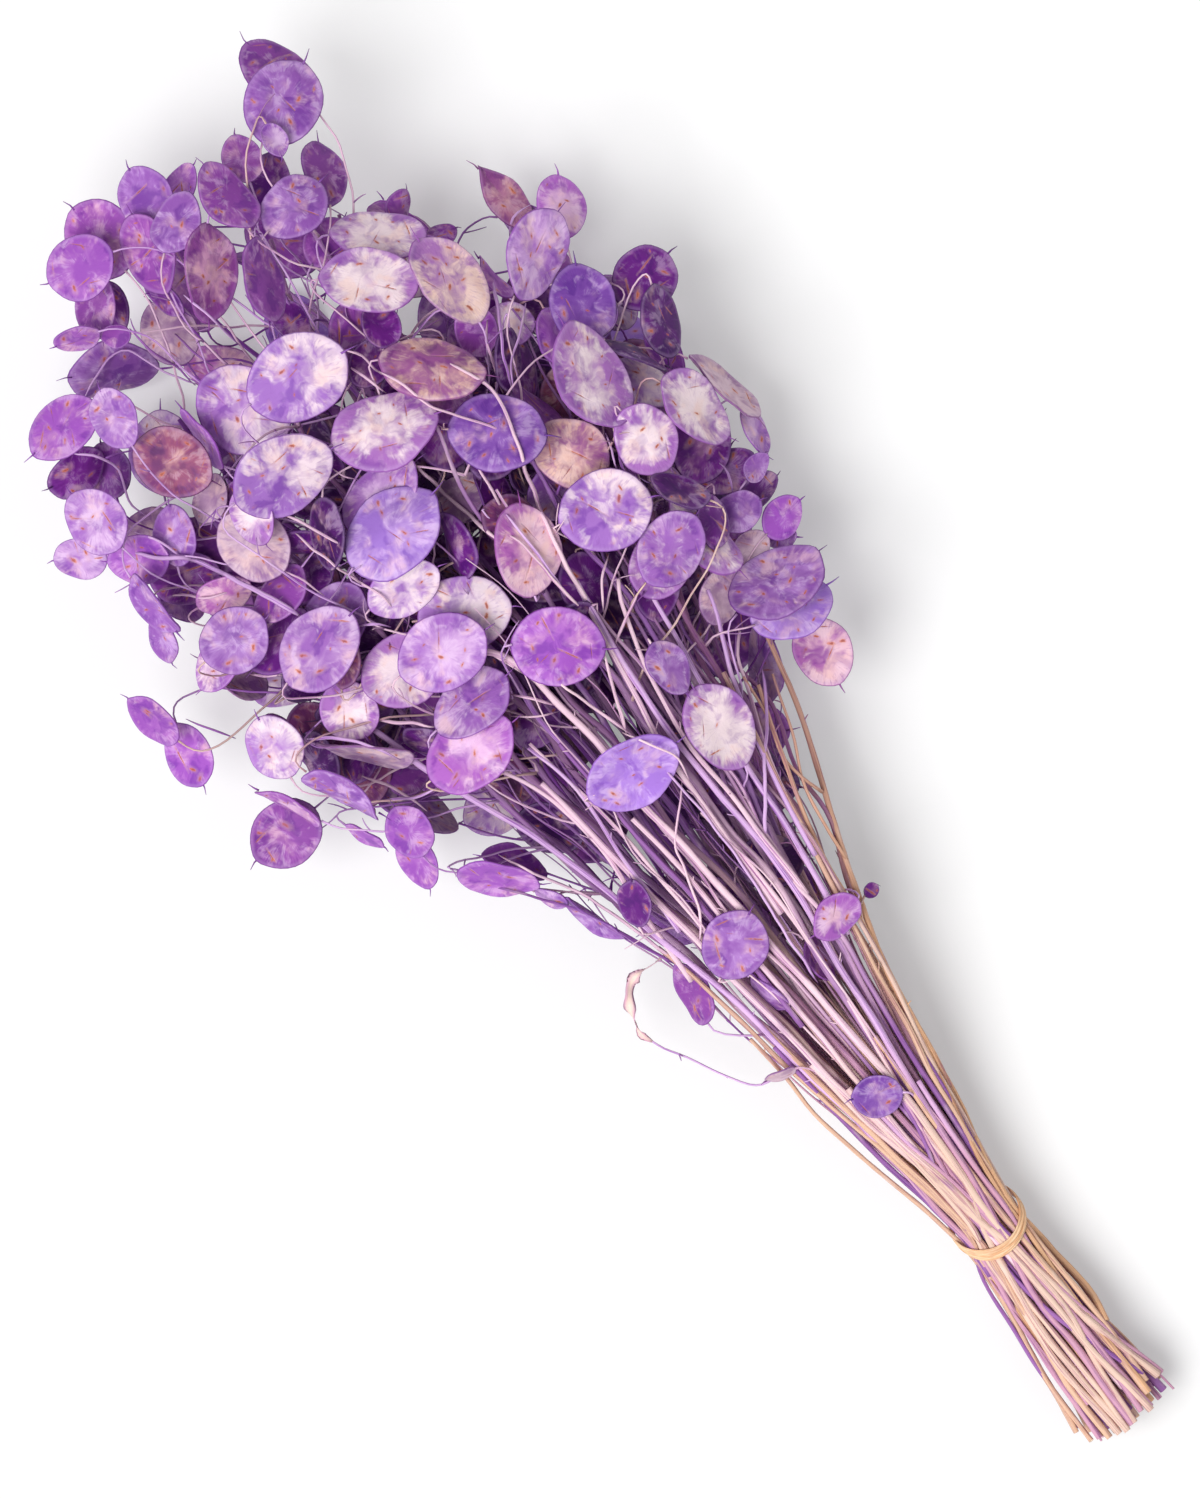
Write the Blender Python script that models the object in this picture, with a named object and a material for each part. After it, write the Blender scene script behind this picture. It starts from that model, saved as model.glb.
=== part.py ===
"""A bunch of dried honesty (Lunaria annua), lying on a table.

Cut flower stems are gathered by one straw tie. Each stem grew as one piece with its side twigs
and its flat oval seed pods, so each is one closed solid. The tie is a separate strip.

Lengths are in millimetres and become metres when a mesh is made. +Y runs along the bunch from
the cut ends to the head, +X runs across it and +Z is up. The layout is worked out from the
middle of the tie. At the end everything is moved so that the origin lies under the middle of
the bunch, on the surface that it rests on.
"""

import math
import random

import bmesh
import bpy
from mathutils import Vector
from mathutils.bvhtree import BVHTree

MM = 0.001
SEED = 41

# The bundle of stems inside the tie: an oval, close-packed pattern.
BUNDLE_HALF_WIDTH = 12.6
BUNDLE_HALF_HEIGHT = 10.4
STEM_SPACING = 3.5
STEM_RADII = (1.3, 1.6)
PACKING_SLACK = 0.6

# The tie: a flat strip that lies slanted, lower on the upper side.
TIE_GAP = 0.3
TIE_WIDTH = 3.2
TIE_THICKNESS = 1.0
TIE_SLANT = 1.0
TIE_MIDDLE = 6.0
TIE_SEGMENTS = 40

# How the bundle opens on both sides of the tie, and the height that its axis lies at.
FLARE_UP = 46.0
FLARE_DOWN = 72.0
FLATTENING = 0.70
TWIST = 0.45
BEND = 0.8
BEND_LENGTH = 47.0
AXIS_AT_TIE = 26.0
AXIS_SLOPE = 0.108
AXIS_SAG = 0.00007

# Stems, their nodes and their twigs.
CUT_END = -84.0
CUT_STAGGER = 7.0
STEM_SIDES = 6
STEM_TIP_RADIUS = 0.75
LONGEST_STEM = 478.0
OUTER_STEM_LOSS = 165.0
STEM_END_STAGGER = (-22.0, 14.0)
RING_PITCH = 46.0
FIRST_NODE = 62.0
NODE_PITCH = 27.0
NODE_LENGTH = 2.6
TWIG_RADIUS = 0.55
SHORTEST_TWIG = 7.0
LONGEST_TWIG = 84.0
BENT_TWIG = 42.0
TWIGS_TRIED = 16

# Pods: stations between stalk and beak are a place along the pod and a share of its width.
POD_THICKNESS = 1.8
POD_ASPECT = 0.82
POD_STATIONS = ((0.13, 0.67), (0.45, 1.0), (0.80, 0.80))
BEAK_SHARE = 0.15
LAYER_DEPTH = 13.0
UPPER_LEAN = 0.42
FLANK_LEAN = 2.0

# Room that each new piece needs, and the heights and pitches at which a pod is tried.
CLEARANCE = 0.35
SURFACE_GAP = 1.2
TEST_HEIGHTS = (0, -3, 3, -6, 6, -9, 9, -12, 12, -16, -20, -25, -30)
TEST_PITCHES = (0, 9, -9, 18, -18)

# The head at distances from the tie: middle across the bunch, half width and half height.
HEAD = (
    (30.0, -4.0, 20.0, 14.0),
    (100.0, -2.0, 34.0, 26.0),
    (160.0, 2.0, 50.0, 38.0),
    (210.0, 2.0, 72.0, 48.0),
    (260.0, 1.0, 101.0, 57.0),
    (320.0, -4.0, 127.0, 63.0),
    (380.0, -3.0, 127.0, 63.0),
    (420.0, -10.0, 123.0, 59.0),
    (450.0, -24.0, 94.0, 54.0),
    (480.0, -30.0, 84.0, 48.0),
    (510.0, -7.0, 66.0, 40.0),
    (545.0, 42.0, 24.0, 20.0),
)
HEAD_CENTRE = 350.0
HEAD_REACH = 190.0

# The pods on the upper side of the head: place across and along the bunch, heading of the beak
# in degrees from +Y towards +X, length, width as it shows from above, and layer below the top.
UPPER_PODS = (
    # the far end
    (48, 526, -5, 36, 27, 1), (43, 516, 62, 37, 30, 0), (31, 506, 190, 14, 11, 0),
    (-46, 517, -8, 33, 31, 1), (-58, 512, -75, 29, 26, 0), (-62, 497, 200, 26, 20, 2),
    (-59, 494, 190, 22, 12, 3), (-76, 491, -70, 19, 8, 1), (-63, 483, -60, 12, 9, 2),
    (-22, 519, 4, 26, 22, 1), (-8, 515, 75, 18, 14, 2), (-33, 500, 15, 33, 22, 1),
    (-18, 503, 58, 25, 20, 0), (-20, 480, 202, 38, 19, 0), (-39, 484, 165, 20, 9, 2),
    (-46, 472, 5, 27, 22, 3), (3, 499, 4, 31, 20, 0), (17, 508, 20, 20, 16, 1),
    (20, 495, 60, 24, 17, 2), (22, 481, 80, 29, 24, 0), (39, 485, 30, 27, 19, 1),
    (-5, 465, 215, 34, 15, 0), (-3, 476, 100, 16, 9, 1), (-6, 446, 185, 20, 14, 2),
    (24, 463, 70, 22, 18, 2), (41, 453, 125, 37, 26, 1), (54, 457, 60, 16, 10, 2),
    (61, 439, 100, 13, 10, 2), (27, 440, 130, 38, 29, 0), (52, 422, 2, 40, 28, 0),
    (10, 427, 20, 27, 20, 1),
    # the left shoulder
    (-101, 467, -100, 31, 24, 1), (-82, 457, 5, 25, 20, 0), (-107, 450, -80, 26, 18, 2),
    (-97, 444, 20, 22, 15, 3), (-112, 430, -10, 28, 24, 0), (-126, 423, -60, 22, 17, 1),
    (-108, 409, -60, 25, 20, 1), (-92, 408, 30, 24, 19, 2), (-75, 430, 150, 33, 27, 1),
    (-72, 411, 60, 20, 15, 3), (-114, 391, 175, 28, 16, 0), (-119, 379, 200, 20, 14, 1),
    (-98, 393, 120, 28, 20, 3), (-90, 378, 100, 23, 15, 2), (-69, 386, 165, 31, 27, 1),
    (-62, 395, 195, 24, 18, 0), (-44, 400, 102, 41, 29, 0), (-41, 431, -20, 39, 34, 1),
    (-17, 427, 98, 41, 33, 0), (-60, 431, 0, 28, 9, 2),
    # the middle
    (27, 399, 135, 41, 27, 0), (-2, 391, 110, 42, 31, 0), (32, 364, 130, 38, 31, 0),
    (-23, 358, 84, 42, 32, 0), (-18, 371, 80, 36, 24, 1), (-33, 338, 95, 30, 21, 1),
    (-73, 339, 80, 37, 29, 0), (-61, 344, 70, 31, 25, 1), (-97, 361, 92, 29, 26, 0),
    (-108, 359, 250, 25, 18, 1), (5, 353, 100, 25, 18, 2), (0, 335, 95, 32, 20, 2),
    (14, 321, 28, 36, 27, 0), (37, 333, 70, 28, 20, 2), (47, 315, 110, 37, 32, 0),
    (50, 341, 150, 32, 27, 1), (73, 360, 12, 44, 32, 0), (89, 346, 150, 28, 20, 1),
    (76, 328, 170, 30, 26, 0), (98, 326, 150, 36, 27, 0), (112, 326, 155, 36, 18, 1),
    (-36, 309, 98, 36, 30, 0), (-53, 313, 280, 32, 29, 1), (-20, 316, 118, 36, 30, 1),
    (-59, 363, 60, 24, 16, 3), (54, 378, 30, 28, 14, 3),
    # the right shoulder
    (85, 410, 65, 38, 24, 0), (105, 420, 35, 26, 21, 1), (89, 436, -2, 32, 13, 2),
    (61, 395, 120, 20, 18, 2), (88, 384, 30, 33, 27, 1), (72, 380, 190, 24, 17, 2),
    (114, 378, 80, 29, 25, 1), (108, 361, 200, 29, 20, 1), (67, 413, 0, 20, 9, 2),
    (112, 305, 190, 20, 13, 1), (93, 300, 100, 27, 18, 2), (99, 286, 90, 20, 13, 2),
    (104, 294, 70, 13, 10, 1), (73, 309, 170, 20, 14, 2),
    # the left side
    (-141, 356, -15, 25, 18, 0), (-138, 337, 190, 26, 21, 1), (-110, 319, 10, 26, 23, 0),
    (-119, 298, -30, 28, 12, 0), (-127, 290, -95, 30, 26, 1), (-99, 289, 155, 33, 17, 0),
    (-83, 297, 152, 38, 14, 1), (-78, 313, 190, 25, 23, 1), (-103, 271, 155, 17, 9, 1),
    (-88, 262, 10, 22, 19, 0), (-92, 251, 200, 24, 18, 1), (-71, 227, 152, 32, 21, 0),
    (-60, 208, 150, 14, 9, 1), (-51, 192, 152, 28, 13, 1),
    # the tie side of the head
    (58, 288, 75, 32, 26, 0), (51, 286, 250, 28, 24, 1), (72, 285, 170, 38, 24, 1),
    (88, 284, 100, 20, 16, 1), (101, 272, 85, 20, 16, 1), (84, 270, 90, 16, 13, 2),
    (96, 267, 130, 14, 11, 2), (63, 262, 60, 23, 18, 2), (83, 253, 92, 41, 24, 1),
    (83, 243, 100, 35, 26, 0), (82, 221, 188, 28, 21, 1), (30, 252, 180, 23, 17, 0),
    (32, 222, 2, 36, 28, 0), (-5, 229, 95, 39, 29, 0), (-50, 272, 90, 38, 28, 0),
    (-39, 287, 88, 34, 22, 1), (1, 284, 130, 36, 31, 0), (-23, 267, 60, 24, 19, 3),
    # low on the stems
    (-35, 187, 30, 19, 14, 0), (-37, 146, 20, 27, 17, 1), (-14, 151, 60, 28, 26, 0),
    (-15, 128, 170, 20, 9, 1), (8, 127, 175, 20, 10, 1), (24, 136, -90, 22, 17, 0),
    (41, 136, 90, 7, 6, 0), (23, 194, 170, 22, 12, 1), (-5, 71, -60, 20, 17, 0),
    (-30, 100, -80, 13, 6, 0),
)

# The pods underneath and on the flanks, in rows that follow the lower half of the head.
LOWER_PITCH = 38.0
LOWER_FROM = 178.0
LOWER_ROWS = 9
LOWER_INSET = 20.0
LOWER_LENGTH = (30.0, 38.0)
FLANK_PITCH = 31.0
FLANK_FROM = 232.0
FLANK_ROWS = 8
FLANK_INSET = (16.0, 26.0)

# Base colour and roughness of each material.
DYED_PLANT = ((0.36, 0.17, 0.46, 1.0), 0.62)
STRAW = ((0.74, 0.55, 0.33, 1.0), 0.58)


def spread(y):
    """How many times wider than at the tie the bundle is at a distance y from it."""
    return math.hypot(1.0, y / (FLARE_UP if y > 0 else FLARE_DOWN))


def axis_height(y):
    """Height of the middle of the bundle above the surface that it lies on."""
    return AXIS_AT_TIE + AXIS_SLOPE * y - AXIS_SAG * y * y


def head_shape(y):
    """Middle, half width and half height of the head at a distance y from the tie."""
    if y <= HEAD[0][0]:
        return HEAD[0][1:]
    for near, far in zip(HEAD, HEAD[1:]):
        if y <= far[0]:
            part = (y - near[0]) / (far[0] - near[0])
            return [low + (high - low) * part for low, high in zip(near[1:], far[1:])]
    return HEAD[-1][1:]


class Stem:
    """One cut flower stem: its line through the tie, its radius and the twigs that it bears."""

    def __init__(self, x0, z0, chance):
        self.x0 = x0
        self.z0 = z0
        self.radius = chance.uniform(*STEM_RADII)
        edge = math.hypot(x0 / BUNDLE_HALF_WIDTH, z0 / BUNDLE_HALF_HEIGHT)
        self.start = CUT_END + chance.uniform(-CUT_STAGGER, CUT_STAGGER)
        self.end = LONGEST_STEM - OUTER_STEM_LOSS * edge * edge + chance.uniform(*STEM_END_STAGGER)
        self.bend = [chance.uniform(-BEND, BEND) for _ in range(2)]
        self.phase = [chance.uniform(0.0, math.tau) for _ in range(2)]
        self.taken = []
        self.twigs = []

    def point(self, y):
        """Middle of the stem at a distance y from the tie."""
        grow = spread(y)
        turn = TWIST * math.atan(y / FLARE_UP)
        x = self.x0 * math.cos(turn) - self.z0 * math.sin(turn)
        z = self.x0 * math.sin(turn) + self.z0 * math.cos(turn)
        rise = 1.0 + (grow - 1.0) * FLATTENING
        bend = [size * (grow - 1.0) * math.sin(y / BEND_LENGTH + phase)
                for size, phase in zip(self.bend, self.phase)]
        return Vector((x * grow + bend[0], y, axis_height(y) + z * rise + bend[1]))

    def frame(self, y):
        """Direction of growth and the two directions across the stem at y."""
        along = (self.point(y + 2.0) - self.point(y - 2.0)).normalized()
        across = (Vector((1, 0, 0)) - along * along.x).normalized()
        return along, across, across.cross(along)

    def radius_at(self, y):
        part = max(0.0, y) / self.end
        return self.radius + (STEM_TIP_RADIUS - self.radius) * part ** 1.5

    def ring(self, y, extra=0.0):
        """Corners of the stem's section at y."""
        middle = self.point(y)
        _, across, up = self.frame(y)
        radius = self.radius_at(y) + extra
        corners = []
        for side in range(STEM_SIDES):
            angle = math.tau * side / STEM_SIDES
            corners.append(middle + (across * math.cos(angle) + up * math.sin(angle)) * radius)
        return corners

    def sockets(self):
        """Places where a twig can leave the stem: node, side, point and outward direction."""
        y = FIRST_NODE
        while y < self.end - NODE_LENGTH:
            middle = self.point(y)
            along, across, up = self.frame(y)
            for side in range(STEM_SIDES):
                angle = math.tau * (side + 0.5) / STEM_SIDES
                out = across * math.cos(angle) + up * math.sin(angle)
                yield y, side, middle + out * self.radius_at(y), out, along
            y += NODE_PITCH

    def is_free(self, y, side):
        """No twig may leave the same node from the same or the next side."""
        for other_y, other_side in self.taken:
            step = abs(side - other_side)
            if other_y == y and min(step, STEM_SIDES - step) < 2:
                return False
        return True


class Pod:
    """A flat oval seed pod: its stalk end, its heading, its flat side and its size."""

    def __init__(self, base, along, face, length, width):
        self.base = base
        self.along = along
        self.face = face
        self.across = face.cross(along)
        self.length = length
        self.width = width

    def rings(self, extra=0.0):
        """Four-cornered sections from the stalk end to the tip of the beak."""
        sizes = [(0.0, TWIG_RADIUS, TWIG_RADIUS)]
        for part, share in POD_STATIONS:
            sizes.append((part, share * self.width / 2, share * POD_THICKNESS / 2))
        sizes.append((1.0, TWIG_RADIUS * 1.3, TWIG_RADIUS * 0.8))
        sizes.append((1.0 + BEAK_SHARE, TWIG_RADIUS * 0.45, TWIG_RADIUS * 0.45))
        for part, half_width, half_thick in sizes:
            middle = self.base + self.along * (part * self.length)
            side = self.across * (half_width + extra)
            top = self.face * (half_thick + extra)
            yield [middle + side, middle + top, middle - side, middle - top]

    def lowest(self):
        return min(corner.z for ring in self.rings() for corner in ring)


def make_pod(place, heading, length, plan_width, outward, pitch):
    """A pod whose flat side leans out with the head's surface, and rolls where it shows narrow."""
    middle, half_width, _ = head_shape(place.y)
    lean = max(-1.0, min(1.0, (place.x - middle) / half_width))
    tip = max(-0.6, min(1.0, (place.y - HEAD_CENTRE) / HEAD_REACH))
    over = 1.0 if place.z > axis_height(place.y) else -1.0
    face = Vector((outward * lean * over, 0.7 * outward * tip * over, 1.0)).normalized()
    angle = math.radians(heading)
    along = Vector((math.sin(angle), math.cos(angle), 0.0))
    along = (along - face * along.dot(face)).normalized()
    width = max(plan_width, POD_ASPECT * length)
    roll = math.acos(min(1.0, plan_width / width))
    across = face.cross(along)
    roll *= -1.0 if across.x * lean < 0 else 1.0
    face = (face * math.cos(roll) + across * math.sin(roll)).normalized()
    pitch = math.radians(pitch)
    along, face = (along * math.cos(pitch) + face * math.sin(pitch),
                   face * math.cos(pitch) - along * math.sin(pitch))
    return Pod(place - along * length / 2, along, face, length, width)


def twig_point(start, lead, pod, part):
    """Point of the curved twig that runs from its stem to the stalk end of a pod."""
    reach = (pod.base - start).length / 3.0
    handles = (start, start + lead * reach, pod.base - pod.along * reach, pod.base)
    weights = ((1 - part) ** 3, 3 * part * (1 - part) ** 2, 3 * part ** 2 * (1 - part), part ** 3)
    return sum((handle * weight for handle, weight in zip(handles, weights)), Vector())


def twig_marks(start, lead, pod):
    """Middles and directions of a twig's sections between its stem and its pod."""
    marks = []
    for part in (0.4, 0.75) if (pod.base - start).length > BENT_TWIG else (0.55,):
        ahead = twig_point(start, lead, pod, part + 0.03) - twig_point(start, lead, pod, part - 0.03)
        marks.append((twig_point(start, lead, pod, part), ahead.normalized()))
    return marks


def tube(rings):
    """A search tree of the closed tube through rings of corners, with its bounds."""
    rings = list(rings)
    sides = len(rings[0])
    corners = [corner for ring in rings for corner in ring]
    faces = [list(range(sides)), list(range(len(corners) - sides, len(corners)))]
    for row in range(len(rings) - 1):
        for side in range(sides):
            near = row * sides
            after = (side + 1) % sides
            faces.append([near + side, near + sides + side, near + sides + after, near + after])
    low = Vector(min(corner[k] for corner in corners) for k in range(3))
    high = Vector(max(corner[k] for corner in corners) for k in range(3))
    return BVHTree.FromPolygons(corners, faces), low, high


def twig_shape(start, lead, pod, extra):
    """The test tube of a twig, from its stem to its pod."""
    marks = [(start, lead)] + twig_marks(start, lead, pod) + [(pod.base, pod.along)]
    rings = []
    for middle, along in marks:
        radius = NODE_LENGTH / 2 if middle is start else TWIG_RADIUS
        side = along.orthogonal().normalized() * (radius + extra)
        top = along.cross(side)
        rings.append([middle + side, middle + top, middle - side, middle - top])
    return tube(rings)


def is_clear(shape, placed, bearer=None):
    """Whether a shape meets none of the placed ones, apart from the stem that bears it."""
    tree, low, high = shape
    for other, other_low, other_high, owner in placed:
        if owner is bearer:
            continue
        if any(low[k] > other_high[k] or high[k] < other_low[k] for k in range(3)):
            continue
        if tree.overlap(other):
            return False
    return True


def leaves_stem_cleanly(stem, start, lead, pod):
    """Whether a twig keeps clear of the stem that bears it."""
    for part in (0.35, 0.6, 0.85):
        point = twig_point(start, lead, pod, part)
        middle = stem.point(min(point.y, stem.end))
        if (point - middle).length < stem.radius + 3 * TWIG_RADIUS:
            return False
    return True


def find_twig(pod, stems, placed):
    """The shortest clear twig from any free socket to the pod, or None."""
    choices = []
    for stem in stems:
        for y, side, start, out, along in stem.sockets():
            gap = pod.base - start
            distance = gap.length
            if not SHORTEST_TWIG < distance < LONGEST_TWIG or not stem.is_free(y, side):
                continue
            gap /= distance
            if gap.dot(out) < 0.2 or gap.dot(along) < -0.5:
                continue
            cost = distance * (1.9 - 0.8 * gap.dot(along) - 0.3 * gap.dot(pod.along))
            choices.append((cost, y, side, start, out, along, stem))
    choices.sort(key=lambda choice: choice[0])
    for _, y, side, start, out, along, stem in choices[:TWIGS_TRIED]:
        lead = (out + along * 0.8).normalized()
        if not leaves_stem_cleanly(stem, start, lead, pod):
            continue
        if is_clear(twig_shape(start, lead, pod, CLEARANCE), placed, bearer=stem):
            return stem, y, side, start, lead
    return None


def hang(stems, placed, place, heading, length, plan_width, outward):
    """Find room for one pod near its place, and grow a twig to it."""
    for height in TEST_HEIGHTS:
        for pitch in TEST_PITCHES:
            tried = place + Vector((0.0, 0.0, height))
            pod = make_pod(tried, heading, length, plan_width, outward, pitch)
            pod.base.z += max(0.0, SURFACE_GAP - pod.lowest())
            if not is_clear(tube(pod.rings(CLEARANCE)), placed):
                continue
            found = find_twig(pod, stems, placed)
            if not found:
                continue
            stem, node, side, start, lead = found
            stem.taken.append((node, side))
            stem.twigs.append((node, side, start, lead, pod))
            placed.append((*tube(pod.rings()), pod))
            placed.append((*twig_shape(start, lead, pod, 0.0), pod))
            return True
    return False


def packed_stems(chance):
    """Stems on a close-packed pattern that fills the oval inside the tie."""
    stems = []
    row_height = STEM_SPACING * math.sqrt(3) / 2
    rows = int(BUNDLE_HALF_HEIGHT / row_height) + 1
    columns = int(BUNDLE_HALF_WIDTH / STEM_SPACING) + 1
    inset = max(STEM_RADII) - PACKING_SLACK
    for row in range(-rows, rows + 1):
        for column in range(-columns, columns + 1):
            x = (column + 0.5 * (row % 2)) * STEM_SPACING
            z = row * row_height
            across = x / (BUNDLE_HALF_WIDTH - inset)
            up = z / (BUNDLE_HALF_HEIGHT - inset)
            if math.hypot(across, up) <= 1.0:
                stems.append(Stem(x, z, chance))
    return stems


def upper_places():
    """Places for the pods on the upper side, the top layer first."""
    rows = []
    for x, y, heading, length, plan_width, layer in sorted(UPPER_PODS, key=lambda row: row[5]):
        middle, half_width, half_height = head_shape(y)
        lean = min(0.97, abs(x - middle) / half_width)
        z = axis_height(y) + half_height * math.sqrt(1 - lean * lean) - layer * LAYER_DEPTH
        rows.append((Vector((x, y, z)), heading, length, plan_width, UPPER_LEAN))
    return rows


def lower_places(chance):
    """Places for the pods underneath, which the bunch lies on."""
    rows = []
    for row in range(LOWER_ROWS):
        y = LOWER_FROM + row * LOWER_PITCH + chance.uniform(-4, 4)
        middle, half_width, half_height = head_shape(y)
        reach = half_width - LOWER_INSET
        columns = max(1, round(2 * reach / LOWER_PITCH))
        for column in range(columns):
            x = middle - reach + 2 * reach * (column + 0.5) / columns + chance.uniform(-7, 7)
            lean = min(0.97, abs(x - middle) / half_width)
            z = axis_height(y) - half_height * 0.92 * math.sqrt(1 - lean * lean)
            length = chance.uniform(*LOWER_LENGTH)
            heading = math.degrees(math.atan2(x - middle, y - 200.0)) + chance.uniform(-60, 60)
            place = Vector((x, y + chance.uniform(-9, 9), z))
            plan_width = POD_ASPECT * length * chance.uniform(0.72, 1.0)
            rows.append((place, heading, length, plan_width, UPPER_LEAN))
    return rows


def flank_places(chance):
    """Places for the steeper pods along both flanks."""
    rows = []
    for row in range(FLANK_ROWS):
        for side in (-1.0, 1.0):
            y = FLANK_FROM + row * FLANK_PITCH + chance.uniform(-9, 9)
            middle, half_width, half_height = head_shape(y)
            x = middle + side * (half_width - chance.uniform(*FLANK_INSET))
            z = axis_height(y) - half_height * chance.uniform(0.05, 0.5)
            length = chance.uniform(*LOWER_LENGTH) - 3.0
            heading = side * 60.0 + chance.uniform(-45, 45)
            rows.append((Vector((x, y, z)), heading, length, POD_ASPECT * length, FLANK_LEAN))
    return rows


def grow_bunch():
    """All stems with the twigs and pods that found room on them, and the places that had none."""
    chance = random.Random(SEED)
    stems = packed_stems(chance)
    placed = []
    for stem in stems:
        ys = [stem.start + (stem.end - stem.start) * step / 26 for step in range(27)]
        placed.append((*tube(stem.ring(y, CLEARANCE) for y in ys), stem))
    missed = []
    for row in upper_places() + lower_places(chance) + flank_places(chance):
        if not hang(stems, placed, *row):
            missed.append([round(value) for value in row[0]])
    return stems, missed


def join_rings(bm, near, far):
    """Side faces between two rings of vertices, facing out."""
    for side in range(len(near)):
        after = (side + 1) % len(near)
        bm.faces.new((near[side], near[after], far[after], far[side]))


def add_twig(bm, hole, start, lead, pod):
    """Grow a twig and its pod out of a four-cornered hole in the stem's side."""
    middle = sum((vertex.co for vertex in hole), Vector()) / 4
    arm = (hole[0].co - middle).normalized()
    along = lead
    marks = []
    for point, ahead in twig_marks(start, lead, pod):
        arm = along.rotation_difference(ahead) @ arm
        arm = (arm - ahead * arm.dot(ahead)).normalized()
        marks.append((point, ahead, arm.copy()))
        along = ahead
    arm = along.rotation_difference(pod.along) @ arm
    arms = (pod.across, pod.face, -pod.across, -pod.face)
    first = max(range(4), key=lambda k: arm.dot(arms[k]))
    turn = math.atan2(arm.cross(arms[first]).dot(pod.along), arm.dot(arms[first]))
    near = hole
    for count, (point, ahead, side) in enumerate(marks, start=1):
        angle = turn * count / (len(marks) + 1)
        side = side * math.cos(angle) + ahead.cross(side) * math.sin(angle)
        top = ahead.cross(side)
        corners = (side, top, -side, -top)
        far = [bm.verts.new((point + corner * TWIG_RADIUS) * MM) for corner in corners]
        join_rings(bm, near, far)
        near = far
    for ring in pod.rings():
        far = [bm.verts.new(ring[(first + k) % 4] * MM) for k in range(4)]
        join_rings(bm, near, far)
        near = far
    bm.faces.new(near)


def stem_mesh(stem):
    """One closed skin over a stem, its twigs and its pods."""
    bm = bmesh.new()
    nodes = sorted({node for node, _ in stem.taken})
    ys = [step * RING_PITCH for step in range(-1, int(stem.end / RING_PITCH) + 1)]
    ys = [y for y in ys if y < stem.end - RING_PITCH / 2
          and all(abs(y - node) > RING_PITCH / 2 for node in nodes)]
    for node in nodes:
        ys += [node - NODE_LENGTH / 2, node + NODE_LENGTH / 2]
    ys = sorted(ys + [stem.start, stem.end])
    rings = {y: [bm.verts.new(corner * MM) for corner in stem.ring(y)] for y in ys}
    bm.faces.new(rings[ys[0]])
    bm.faces.new(list(reversed(rings[ys[-1]])))
    twigs = {(node - NODE_LENGTH / 2, side): rest for node, side, *rest in stem.twigs}
    for low, high in zip(ys, ys[1:]):
        for side in range(STEM_SIDES):
            after = (side + 1) % STEM_SIDES
            corners = [rings[low][side], rings[high][side], rings[high][after], rings[low][after]]
            if (low, side) in twigs:
                add_twig(bm, corners, *twigs[low, side])
            else:
                bm.faces.new(corners)
    return bm


def tie_mesh(stems):
    """The flat strip around the stems, slanted and just clear of them."""
    bm = bmesh.new()
    reach = 0.0
    for stem in stems:
        y = TIE_MIDDLE - TIE_SLANT * stem.z0
        offset = stem.point(y) - Vector((0.0, y, axis_height(y)))
        reach = max(reach, math.hypot(offset.x / BUNDLE_HALF_WIDTH, offset.z / BUNDLE_HALF_HEIGHT))
    inner_x = BUNDLE_HALF_WIDTH * reach + max(STEM_RADII) + TIE_GAP
    inner_z = BUNDLE_HALF_HEIGHT * reach + max(STEM_RADII) + TIE_GAP
    sections = []
    for step in range(TIE_SEGMENTS):
        angle = math.tau * step / TIE_SEGMENTS
        corners = []
        for out, edge in ((0, -0.5), (0, 0.5), (1, 0.5), (1, -0.5)):
            x = (inner_x + out * TIE_THICKNESS) * math.cos(angle)
            z = (inner_z + out * TIE_THICKNESS) * math.sin(angle)
            y = TIE_MIDDLE - TIE_SLANT * z + edge * TIE_WIDTH
            corners.append(bm.verts.new(Vector((x, y, axis_height(y) + z)) * MM))
        sections.append(corners)
    for near, far in zip(sections, sections[1:] + sections[:1]):
        join_rings(bm, near, far)
    bmesh.ops.recalc_face_normals(bm, faces=bm.faces)
    return bm


def add_part(collection, name, bm, color, roughness):
    """A named object with its own material."""
    material = bpy.data.materials.new(name)
    material.use_nodes = True
    shader = material.node_tree.nodes["Principled BSDF"]
    shader.inputs["Base Color"].default_value = color
    shader.inputs["Roughness"].default_value = roughness
    shader.inputs["Metallic"].default_value = 0.0
    mesh = bpy.data.meshes.new(name)
    bm.to_mesh(mesh)
    bm.free()
    mesh.materials.append(material)
    part = bpy.data.objects.new(name, mesh)
    collection.objects.link(part)
    return part


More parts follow.
